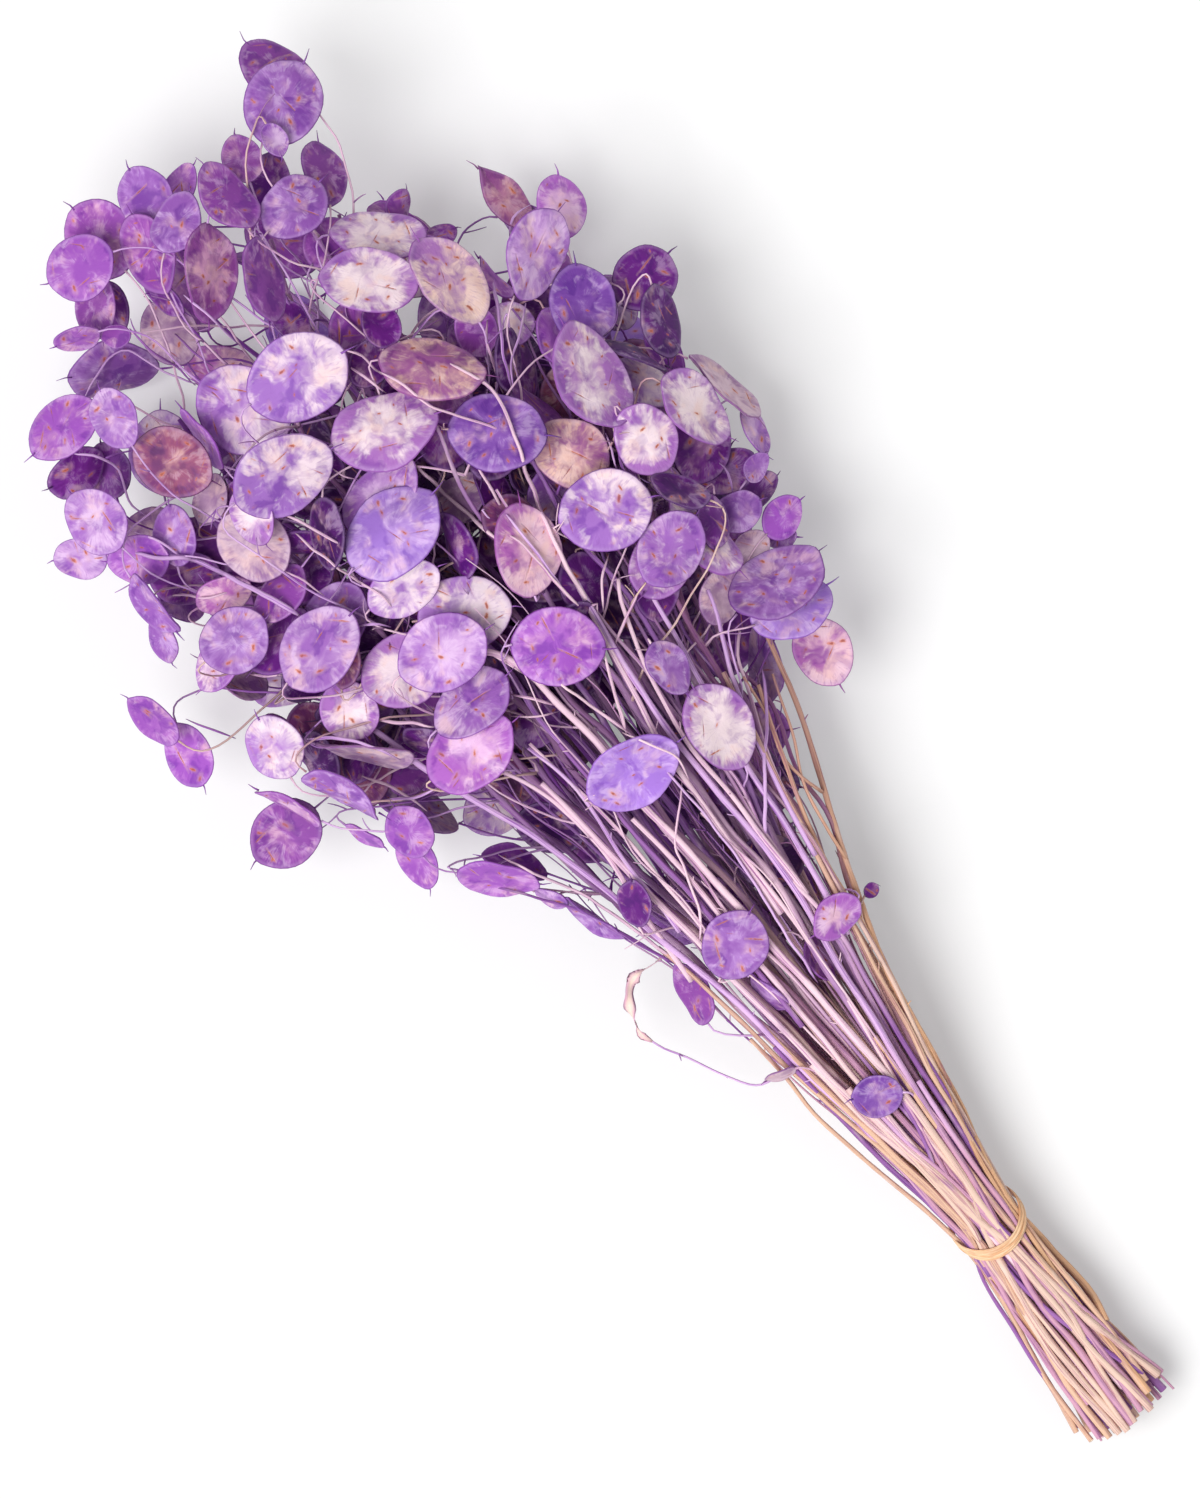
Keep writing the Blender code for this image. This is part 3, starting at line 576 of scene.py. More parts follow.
placed = []
for stem in stems:
    ys = even_steps(stem.start, stem.end, STEM_TESTS)
    placed.append((*tube(stem.ring(y, CLEARANCE) for y in ys), stem))
for row in upper_places() + lower_places(chance) + flank_places(chance):
    hang(placed, *row)
corners = [corner for stem in stems for corner in stem.ring(stem.start)]
corners += [corner for stem in stems for _, _, pod in stem.twigs
            for ring in pod.rings() for corner in ring]
to_row = cad_low - Vector(min(corner[k] for corner in corners) for k in range(3)) * MM
surface = -to_row.z / MM
for row in inner_places(chance):
    hang(placed, *row)

# ---------------------------------------------------------------------------------------------
# The stems and twigs themselves: woody, ribbed lengthwise, thicker at the nodes where twigs
# leave, cut across at the foot. The bath dyed the upper parts lilac, and near the tie most of
# them kept the tan of dry straw, with a few that took a deep purple.
STEM_ROUND = 12
STEM_STEP = 5.0
STEM_SWAY = 1.7
NODE_SWELLING = 0.42
NODE_REACH = 2.4
FOOT_NODE = -40.0
RIB_DEPTH = 0.09
TWIG_ROUND = 6
SHOOT_RADII = (0.85, 1.25)
FINE_SHOOT_RADII = (0.42, 0.62)
SHOOT_OFFSET = 2.02
SHOOT_LEAVES = 90.0
SHOOT_THINS_FROM = 60.0
STUB_LENGTH = (4.0, 12.0)
SHORT_STUB = (2.5, 7.0)
STEM_DYES = {
    "tan": ((228, 188, 160), (162, 106, 114)),
    "straw": ((230, 183, 143), (170, 114, 96)),
    "peach": ((234, 202, 184), (174, 116, 136)),
    "pink": ((248, 214, 226), (184, 122, 176)),
    "lilac": ((228, 188, 234), (156, 98, 180)),
    "mauve": ((210, 158, 182), (130, 76, 136)),
    "purple": ((158, 106, 172), (104, 56, 130)),
}
LOW_DYES = ("tan", "peach", "purple", "mauve", "peach", "tan", "straw", "mauve", "tan", "pink")
HIGH_DYES = ("lilac", "pink", "lilac", "peach", "pink", "purple", "pink", "mauve")
TOP_TWIG_DYES = ("pink", "lilac", "lilac", "peach", "pink")
DEEP_TWIG_DYES = ("lilac", "purple", "lilac")
# How much of the painted depth shade the twigs near the top and the twigs deep in the head take.
TOP_TWIG_DEPTH = 0.25
DEEP_TWIG_DEPTH = 0.85
PITH = ((250, 232, 208), (214, 178, 150))
# Painted shade: the darker purple that the lower side of every stalk turns towards, where less
# light falls.
PAINTED_SHADE = (124, 66, 140)
# Painted shade deep in the head: stalks under the upper side turn towards this dark purple, in
# place of the shade and the coloured light through the pods there. It starts a little below the
# crest, sets in fully over a depth and, along the bunch, over a distance from the tie.
DEPTH_SHADE = (116, 48, 144)
HEAD_CREST = 9.0
DEPTH_REACH = 18.0
DEPTH_FROM = 95.0
DEPTH_OVER = 100.0
DYE_FADE = 70.0
TAN_SHARE = 0.75
STUB_RADII = (0.38, 0.30, 0.27, 0.24, 0.15)
STUB_MARKS = (0.0, 0.25, 0.5, 0.75, 1.0)
STUBS_FROM = 110.0
TIE_MIDDLE = 6.0
TIE_HOLDS = 0.35
TIE_HOLD_REACH = 30.0
TIE_GRIP = 8.0
# Rings of the cut foot, from the bark in: share of the radius, how far it is sunk, and colour.
CUT_RINGS = ((0.94, -0.1, PITH[1]), (0.72, 0.1, PITH[0]), (0.30, 1.2, PITH[1]))


def paint(colour):
    """A colour written in 0 to 255 as the shader's own numbers."""
    return [(value / 255 / 12.92 if value <= 10 else ((value / 255 + 0.055) / 1.055) ** 2.4)
            for value in colour]


def towards(first, second, share):
    """Two colours or places mixed by a share."""
    return [a + (b - a) * share for a, b in zip(first, second)]


class Skin:
    """A mesh under way, in millimetres from the tie, with the values that its material reads."""

    def __init__(self):
        self.points = []
        self.faces = []
        self.values = {}

    def add(self, point, **values):
        """Add a point, never under the surface that the bunch lies on."""
        self.points.append((point.x * MM + to_row.x, point.y * MM + to_row.y,
                            max(point.z, surface + 0.15) * MM + to_row.z))
        for name, value in values.items():
            self.values.setdefault(name, []).append(value)
        return len(self.points) - 1

    def close(self, near, far):
        """Faces between two rings of points."""
        for side in range(len(near)):
            after = (side + 1) % len(near)
            self.faces.append((near[side], near[after], far[after], far[side]))

    def piece(self, name, material, node, slot):
        """The finished piece, with every value as an attribute of its points."""
        mesh = bpy.data.meshes.new(name)
        mesh.from_pydata(self.points, [], self.faces)
        for label, values in self.values.items():
            if isinstance(values[0], float):
                layer = mesh.attributes.new(label, "FLOAT", "POINT")
                layer.data.foreach_set("value", values)
            else:
                layer = mesh.attributes.new(label, "FLOAT_VECTOR", "POINT")
                layer.data.foreach_set("vector", [part for value in values for part in value])
        mesh.polygons.foreach_set("use_smooth", [True] * len(mesh.polygons))
        mesh.materials.append(material)
        part = bpy.data.objects.new(name, mesh)
        bpy.context.scene.collection.objects.link(part)
        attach(part, "root")
        if node:
            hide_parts(node)
        return part


class Value:
    """A number that a material works out over a surface. Arithmetic on it adds Math nodes."""

    def __init__(self, finish, socket):
        self.finish = finish
        self.socket = socket

    def math(self, operation, first, second=0.0):
        return self.finish.add("Math", {"operation": operation}, {0: first, 1: second})

    def __add__(self, other):
        return self.math("ADD", self, other)

    def __radd__(self, other):
        return self.math("ADD", other, self)

    def __sub__(self, other):
        return self.math("SUBTRACT", self, other)

    def __rsub__(self, other):
        return self.math("SUBTRACT", other, self)

    def __mul__(self, other):
        return self.math("MULTIPLY", self, other)

    def __rmul__(self, other):
        return self.math("MULTIPLY", other, self)

    def __truediv__(self, other):
        return self.math("DIVIDE", self, other)

    def __pow__(self, other):
        return self.math("POWER", self, other)


class Finish:
    """A material under way, or the room's light. Every node is made by its one method."""

    def __init__(self, name, owner=None):
        self.material = owner or bpy.data.materials.new(name)
        self.material.use_nodes = True
        self.tree = self.material.node_tree
        self.tree.nodes.clear()

    def add(self, kind, settings, inputs, output=0):
        """Add a node: its settings first, then the values or links of its sockets."""
        node = self.tree.nodes.new("ShaderNode" + kind)
        for name, value in settings.items():
            setattr(node, name, value)
        for name, value in inputs.items():
            if isinstance(value, Value):
                self.tree.links.new(value.socket, node.inputs[name])
            else:
                node.inputs[name].default_value = value
        return Value(self, node.outputs[output]) if len(node.outputs) else node


def noise_of(finish, place, scale, detail=3.0, rough=0.55):
    """Soft noise from 0 to 1 at a place."""
    return finish.add("TexNoise", {}, {"Vector": place, "Scale": scale, "Detail": detail,
                                       "Roughness": rough})


def step_of(finish, value, low, high):
    """A soft step of a value from 0 at low to 1 at high."""
    return finish.add("MapRange", {"interpolation_type": "SMOOTHSTEP"},
                      {"Value": value, "From Min": low, "From Max": high})


def blend(finish, share, first, second, way="MIX"):
    """Two colours mixed by a share."""
    return finish.add("Mix", {"data_type": "RGBA", "blend_type": way},
                      {0: share, 6: first, 7: second}, 2)


def attribute(finish, name, output="Vector"):
    """A value that the mesh carries."""
    return finish.add("Attribute", {"attribute_name": name}, {}, output)


def stem_finish():
    """Dyed wood: two colours in lengthwise streaks, darker scars and fine fibres."""
    finish = Finish("dyed_stem")
    grain = attribute(finish, "grain")
    streaks = noise_of(finish, grain, 1.6, 4.0, 0.6)
    fibres = noise_of(finish, grain, 7.0, 2.0, 0.7)
    blotches = noise_of(finish, attribute(finish, "spot"), 1.0, 3.0)
    colour = blend(finish, step_of(finish, streaks * 0.8 + fibres * 0.2, 0.48, 0.66),
                   attribute(finish, "dye", "Color"), attribute(finish, "second", "Color"))
    colour = blend(finish, step_of(finish, blotches, 0.60, 0.74) * 0.40,
                   colour, (*paint((138, 84, 158)), 1.0))
    colour = blend(finish, step_of(finish, blotches, 0.40, 0.28) * 0.35,
                   colour, (*paint((240, 220, 214)), 1.0))
    bump = finish.add("Bump", {}, {"Strength": 0.5, "Distance": 0.0004,
                                   "Height": streaks * 0.6 + fibres * 0.4})
    shader = finish.add("BsdfPrincipled", {}, {
        "Base Color": colour, "Roughness": 0.50 + fibres * 0.2, "Specular IOR Level": 0.22,
        "Normal": bump})
    finish.add("OutputMaterial", {}, {"Surface": shader})
    return finish.material


def painted(name):
    """The main and the streak colour of a stem's dye, as the shader's own numbers."""
    return [paint(colour) for colour in STEM_DYES[name]]


def depth_share(point):
    """How deep a point lies under the upper side of the head, from 0 to 1: how much painted shade a
    stalk takes there.
    """
    above = axis_height(point.y) + HEAD_CREST * spread(point.y)
    middle, half_width, _ = head_shape(point.y)
    inside = min(1.0, max(0.0, 1.15 - abs(point.x - middle) / half_width) * 3.0)
    return (inside * min(1.0, max(0.0, (above - point.z) / DEPTH_REACH))
            * min(1.0, max(0.0, (point.y - DEPTH_FROM) / DEPTH_OVER)))


def cut_foot(skin, rim, middle, ahead, arm, top, radius, offset):
    """The cut end of a stem: bark, pale pith and the small hollow in the middle."""
    for share, sunk, pith in CUT_RINGS:
        inner = []
        for side in range(len(rim)):
            angle = math.tau * side / len(rim)
            out = (arm * math.cos(angle) + top * math.sin(angle)) * radius * share
            inner.append(skin.add(middle + ahead * sunk + out, grain=(offset, 0.0, 0.0),
                                  dye=paint(pith), second=paint(PITH[1]), spot=(offset, 0.0, 0.0)))
        skin.close(inner, rim)
        rim = inner
    skin.faces.append(tuple(reversed(rim)))


def add_stalk(skin, points, radii, sides, dyes, chance, ribs=0.0, cut=False, deep=0.76):
    """A closed round tube along points, with two colours at each, and cut across at its foot.
    Painted shade darkens the colours underneath and deep in the head.
    """
    offset = chance.uniform(0.0, 90.0)
    count = len(points)
    ahead = [(points[min(k + 1, count - 1)] - points[max(k - 1, 0)]).normalized()
             for k in range(count)]
    arm = ahead[0].orthogonal().normalized()
    travelled = 0.0
    rings = []
    for k in range(count):
        if k:
            travelled += (points[k] - points[k - 1]).length
            arm = (arm - ahead[k] * arm.dot(ahead[k])).normalized()
        top = ahead[k].cross(arm)
        if not k:
            arm_at_foot, top_at_foot = arm.copy(), top
        dye, second = dyes[k]
        # Painted shade: the deeper a point lies in the head, the more both its colours turn towards
        # the depth shade.
        depth = depth_share(points[k]) * deep
        dye, second = (towards(colour, paint(DEPTH_SHADE), depth) for colour in (dye, second))
        ring = []
        for side in range(sides):
            angle = math.tau * side / sides
            radius = radii[k] * (1.0 + ribs * math.sin(angle * 5 + offset + travelled * 0.01))
            out = arm * math.cos(angle) + top * math.sin(angle)
            grain = (math.cos(angle) * radii[k] + offset, math.sin(angle) * radii[k] + offset,
                     travelled * 0.018)
            # Painted shade: the lower side of each stalk turns towards a darker purple, as the
            # shade under a round stem.
            under = max(0.0, min(1.0, 0.34 - 0.9 * out.z)) * 0.65
            shade = towards(second, paint(PAINTED_SHADE), 0.6)
            ring.append(skin.add(points[k] + out * radius, grain=grain,
                                 dye=towards(dye, shade, under),
                                 second=towards(second, shade, under),
                                 spot=(offset, out.x * 0.2, travelled * 0.045)))
        rings.append(ring)
    for near, far in zip(rings, rings[1:]):
        skin.close(near, far)
    if cut:
        cut_foot(skin, rings[0], points[0], ahead[0], arm_at_foot, top_at_foot, radii[0], offset)
    else:
        skin.faces.append(tuple(reversed(rings[0])))
    skin.faces.append(tuple(rings[-1]))


def stem_dyes(stem, chance):
    """The dyes of a stem near the tie and in the head: tan on the right, else mostly lilac."""
    right = stem.point(150.0).x > 20.0
    low_dye = chance.choice(LOW_DYES)
    if right and chance.random() < TAN_SHARE:
        return STEM_DYES[low_dye], STEM_DYES[chance.choice(("straw", "tan", "straw", "peach"))]
    return STEM_DYES[low_dye], STEM_DYES[chance.choice(HIGH_DYES)]


def dyes_along(ys, low_dye, high_dye, turn, wander):
    """The two colours at each distance from the tie, fading from the low dye to the high one."""
    dyes = []
    for y in ys:
        share = (y - turn) / DYE_FADE + 0.5 * noise.noise(Vector((wander, y * 0.03, 7.0)))
        share = max(0.0, min(1.0, share))
        dyes.append([towards(paint(low), paint(high), share)
                     for low, high in zip(low_dye, high_dye)])
    return dyes


def freedom(y):
    """How freely a stalk strays at y: least inside the tie."""
    return TIE_HOLDS + (1.0 - TIE_HOLDS) * min(1.0, abs(y - TIE_MIDDLE) / TIE_HOLD_REACH)


def sway_at(wander, y, free):
    """How far a stem strays from its even line."""
    sway = noise.noise_vector(Vector((wander, y * 0.026, 0.0)))
    sway = sway * STEM_SWAY * free * spread(y) ** 0.7
    return Vector((sway.x, 0.0, sway.z))


def stem_stalk(skin, stem, chance):
    """The stem with its swollen nodes, from the cut foot to the thin tip."""
    nodes = sorted({node for node, _ in stem.taken} | {FIRST_NODE - NODE_PITCH, FOOT_NODE})
    steps = int((stem.end - stem.start) / STEM_STEP)
    wander = chance.uniform(0.0, 60.0)
    stem.wander = wander
    ys = even_steps(stem.start, stem.end, steps)
    points, radii = [], []
    for y in ys:
        swelling = sum(NODE_SWELLING * math.exp(-((y - node) / NODE_REACH) ** 2)
                       for node in nodes)
        knobs = 0.10 * noise.noise(Vector((wander, y * 0.09, 3.0)))
        points.append(stem.point(y) + sway_at(wander, y, freedom(y)))
        radii.append(stem.radius_at(y) * (1.02 + knobs) + swelling)
    dyes = dyes_along(ys, *stem_dyes(stem, chance), chance.uniform(40.0, 100.0), wander)
    add_stalk(skin, points, radii, STEM_ROUND, dyes, chance, ribs=RIB_DEPTH, cut=True)


def stubs_on(skin, points, dyes, count, reaches, chance):
    """Short stubs of pedicels that have lost their pods, curling off a stalk."""
    for _ in range(count):
        if len(points) < 4:
            return
        k = chance.randrange(1, len(points) - 1)
        ahead = (points[k + 1] - points[k - 1]).normalized()
        side = ahead.orthogonal().normalized()
        turn = chance.uniform(0.0, math.tau)
        out = side * math.cos(turn) + ahead.cross(side) * math.sin(turn)
        reach = chance.uniform(*reaches)
        curl = Vector((chance.uniform(-1, 1), chance.uniform(-1, 1), chance.uniform(-1, 1)))
        stub = [points[k] + (out + ahead * 1.1).normalized() * reach * share
                + curl * share * share * reach * 0.25 for share in STUB_MARKS]
        add_stalk(skin, stub, STUB_RADII, 5, [dyes[k]] * 5, chance)


def add_shoot(skin, stem, radii, reach, stubs, chance):
    """A slender stem from the same root, which lies in the groove beside its stem."""
    edge = math.hypot(stem.x0 / BUNDLE_HALF_WIDTH, stem.z0 / BUNDLE_HALF_HEIGHT)
    turn = math.radians(30 + 60 * chance.randrange(6)) + chance.uniform(-0.15, 0.15)
    start = stem.start + chance.uniform(-3.0, 12.0)
    end = min(stem.end, chance.uniform(*reach))
    steps = int((end - start) / STEM_STEP)
    wander = chance.uniform(0.0, 60.0)
    drift = chance.uniform(-0.010, 0.010)
    x0, z0 = stem.x0, stem.z0
    radius = chance.uniform(*radii)
    ys = even_steps(start, end, steps)
    points, widths = [], []
    for y in ys:
        opened = min(1.0, max(0.0, abs(y - TIE_MIDDLE) - TIE_GRIP) / TIE_HOLD_REACH)
        away = SHOOT_OFFSET * (0.85 + 0.35 * opened * min(1.0, edge))
        angle = turn + drift * (y - TIE_MIDDLE)
        stem.x0, stem.z0 = x0 + away * math.cos(angle), z0 + away * math.sin(angle)
        outside = math.hypot(stem.x0 / BUNDLE_HALF_WIDTH, stem.z0 / BUNDLE_HALF_HEIGHT) > 1.0
        if outside and opened < 1.0:
            drawn_in = TIE_HOLDS + (1.0 - TIE_HOLDS) * opened
            stem.x0 = x0 + (stem.x0 - x0) * drawn_in
            stem.z0 = z0 + (stem.z0 - z0) * drawn_in
        alone = min(1.0, max(0.0, (y - SHOOT_LEAVES) / SHOOT_LEAVES))
        points.append(stem.point(y) + sway_at(stem.wander, y, freedom(y))
                      + sway_at(wander, y, alone * 0.8))
        fade = max(0.0, (y - SHOOT_THINS_FROM) / max(1.0, end - SHOOT_THINS_FROM))
        knobs = 0.12 * noise.noise(Vector((wander, y * 0.1, 5)))
        widths.append(radius * (1.0 - 0.55 * fade) * (1 + knobs))
    stem.x0, stem.z0 = x0, z0
    dyes = dyes_along(ys, *stem_dyes(stem, chance), chance.uniform(30.0, 95.0), wander)
    add_stalk(skin, points, widths, 8, dyes, chance, ribs=RIB_DEPTH, cut=True)
    upper = [k for k, y in enumerate(ys) if y > STUBS_FROM]
    if upper:
        stubs_on(skin, points[upper[0]:], dyes[upper[0]:], stubs, SHORT_STUB, chance)


def add_twigs(skin, stem, chance):
    """The twigs of a stem, each with short stubs of pedicels that have lost their pods."""
    for start, lead, pod in stem.twigs:
        top = pod.base.z > axis_height(pod.base.y) + 5.0
        names = TOP_TWIG_DYES if top else DEEP_TWIG_DYES
        dye = painted(chance.choice(names))
        length = (pod.base - start).length
        count = max(5, int(length / 4.0))
        wander = chance.uniform(0.0, 90.0)
        points, radii = [start - lead * 0.9], [TWIG_RADIUS * 1.4]
        for k in range(1, count + 1):
            part = k / count
            kink = noise.noise_vector(Vector((wander, part * length * 0.07, 0.0)))
            points.append(twig_point(start, lead, pod, part)
                          + kink * min(2.2, length * 0.04) * math.sin(math.pi * part))
            radii.append(TWIG_RADIUS * (0.95 - 0.30 * part))
        radii[-1] = TWIG_RADIUS * 0.9
        dyes = [dye] * len(points)
        add_stalk(skin, points, radii, TWIG_ROUND, dyes, chance,
                  deep=TOP_TWIG_DEPTH if top else DEEP_TWIG_DEPTH)
        if length > 14.0:
            stubs_on(skin, points, dyes, chance.choice((0, 1, 2)), STUB_LENGTH, chance)


LOOK_SEED = 7
look_chance = random.Random(LOOK_SEED)
dyed_stem = stem_finish()
for number, stem in enumerate(stems, start=1):
    skin = Skin()
    stem_stalk(skin, stem, look_chance)
    add_shoot(skin, stem, SHOOT_RADII, (230.0, 420.0), 4, look_chance)
    add_shoot(skin, stem, FINE_SHOOT_RADII, (180.0, 400.0), 4, look_chance)
    add_twigs(skin, stem, look_chance)
    skin.piece(f"spray_{number:02d}_stem", dyed_stem, f"honesty_stem_{number:02d}", "dyed_plant")

# ---------------------------------------------------------------------------------------------
# The stems that lie over the others on the upper side, and the thin twigs that lie over the
# pods. They cross the bundle at a slant, and a few run free beside it. Each is given by its dye,
# its radii at foot and tip, and the places across and along the bunch that it passes.
FRONT_STEMS = (
    ("tan", 1.1, 0.8, ((-22, -81), (-19, -60), (-17, -42), (-14, -20), (-13, 0), (-16, 18),
                       (-20, 38), (-25, 60), (-29, 80), (-29, 98), (-31, 118))),
    ("purple", 1.1, 0.8, ((12, -78), (4, -55), (-3, -33), (-5, -14), (-4, 4), (-3, 14))),
    ("purple", 0.9, 0.7, ((-20, -80), (-19, -60), (-17, -33), (-15, -12), (-11, 2), (-12, 14))),
    ("purple", 1.0, 0.7, ((-8, 8), (-7, 26), (-3, 40), (0, 52), (3, 70))),
    ("purple", 1.0, 0.7, ((11, 4), (12, 14), (14, 32), (17, 52), (19, 72))),
    ("purple", 1.2, 0.9, ((-12, -12), (-11, 4), (-13, 18), (-16, 34), (-20, 58), (-23, 84),
                          (-25, 110))),
    ("tan", 1.4, 1.2, ((-13, -90), (-13, -60), (-10, -30), (-7, -5), (-8, 12), (-10, 30),
                       (-14, 52), (-18, 78), (-22, 100), (-26, 128))),
    ("peach", 1.6, 1.3, ((7, -91), (2, -60), (1, -30), (-1, 0), (-4, 14), (-7, 32), (-11, 52),
                         (-15, 72), (-18, 96))),
    ("peach", 1.5, 1.2, ((-6, -92), (-8, -62), (-8, -34), (-5, -6), (-2, 14), (-5, 34), (-9, 54),
                         (-12, 80))),
    ("pink", 1.6, 1.4, ((17, -82), (11, -62), (7, -40), (3, -10), (2, 10), (3, 34), (4, 60),
                        (2, 90), (0, 112), (-3, 150), (-5, 176), (-7, 196), (-10, 222),
                        (-9, 246), (-12, 268), (-14, 282), (-18, 294), (-23, 300))),
    ("tan", 1.3, 1.1, ((9, -85), (9, -50), (7, -12), (6, 6), (6, 30), (7, 58), (8, 90))),
    ("mauve", 1.3, 1.1, ((7, -90), (5, -62), (5, -32), (8, -4), (9, 14), (9, 40), (11, 66))),
    ("straw", 1.7, 1.0, ((13, -53), (15, -38), (13, -12), (11, 4), (13, 22), (18, 46), (22, 70),
                         (25, 95), (29, 114), (40, 150), (52, 184), (62, 212), (70, 246))),
    ("tan", 1.4, 0.9, ((12, -81), (12, -44), (11, -10), (12, 12), (14, 38), (18, 68), (22, 94),
                       (27, 128), (33, 164), (40, 204), (47, 238))),
    ("lilac", 1.4, 1.2, ((-3, -91), (-2, -60), (-3, -34), (1, -6), (4, 16), (6, 44), (9, 74),
                         (12, 104), (15, 132), (18, 170), (16, 206), (16, 240), (17, 265),
                         (20, 288), (22, 300))),
    ("peach", 1.3, 1.0, ((-1, -91), (1, -64), (4, -40), (2, -10), (-2, 8), (-4, 28), (-6, 60),
                         (-8, 90), (-10, 130), (-12, 176), (-16, 214))),
    ("peach", 1.4, 1.2, ((-9, -91), (-11, -60), (-10, -36), (-9, -8), (-6, 10), (-8, 36),
                         (-12, 66), (-16, 92), (-21, 130), (-26, 172), (-32, 216), (-36, 246))),
    ("lilac", 1.3, 1.2, ((-16, -88), (-15, -58), (-13, -30), (-10, -4), (-12, 16), (-15, 44),
                         (-18, 72), (-22, 98), (-26, 128), (-34, 164), (-41, 198), (-50, 230),
                         (-56, 245), (-63, 262), (-69, 280), (-71, 290), (-75, 302))),
    ("mauve", 1.2, 1.0, ((3, -89), (5, -58), (3, -30), (0, -6), (-4, 10), (0, 40), (4, 70))),
    ("tan", 1.1, 0.9, ((-19, -87), (-19, -62), (-16, -38), (-12, -10), (-9, 6), (-11, 26),
                       (-15, 50), (-21, 76), (-27, 104), (-32, 140), (-38, 168))),
    ("straw", 1.2, 0.8, ((10, -85), (9, -40), (10, -8), (10, 10), (13, 34), (19, 62), (24, 92),
                         (31, 132), (36, 166), (44, 196), (54, 226))),
    ("peach", 1.1, 0.9, ((-5, -92), (-5, -52), (-6, -20), (-3, 4), (2, 24), (1, 52), (6, 84),
                         (9, 118), (10, 160), (7, 200))),
    ("mauve", 1.2, 0.9, ((18, -82), (15, -70), (12, -60), (8, -40), (5, -20), (3, 0), (-1, 22),
                         (-6, 48), (-10, 76))),
    ("pink", 1.2, 0.8, ((-36, 150), (-35, 176), (-33, 205), (-35, 232), (-39, 246), (-45, 258))),
    ("lilac", 1.0, 0.7, ((-28, 168), (-28, 200), (-26, 230), (-28, 246), (-32, 260))),
    ("pink", 0.9, 0.7, ((-20, 160), (-22, 196), (-24, 228), (-28, 250), (-30, 261))),
    ("pink", 1.3, 1.0, ((8, 150), (9, 190), (10, 226), (13, 250), (17, 272), (20, 292))),
    ("peach", 1.1, 0.8, ((20, 150), (20, 190), (19, 225), (22, 250), (27, 270), (31, 284),
                         (35, 291))),
    ("lilac", 1.1, 0.8, ((32, 160), (38, 196), (46, 230), (52, 245), (57, 257), (60, 267))),
    ("pink", 0.9, 0.6, ((34, 176), (42, 206), (51, 230), (55, 240), (61, 247))),
    ("mauve", 1.2, 0.9, ((24, 128), (28, 160), (31, 196), (36, 232), (40, 262), (43, 284))),
    ("purple", 1.1, 0.8, ((-12, 110), (-14, 150), (-17, 188), (-20, 226), (-21, 254))),
    ("straw", 0.7, 0.5, ((49, 178), (46, 188), (45, 199), (49, 214), (51, 232))),
    ("straw", 0.7, 0.5, ((40, 151), (42, 168), (46, 186), (54, 204), (61, 226))),
)
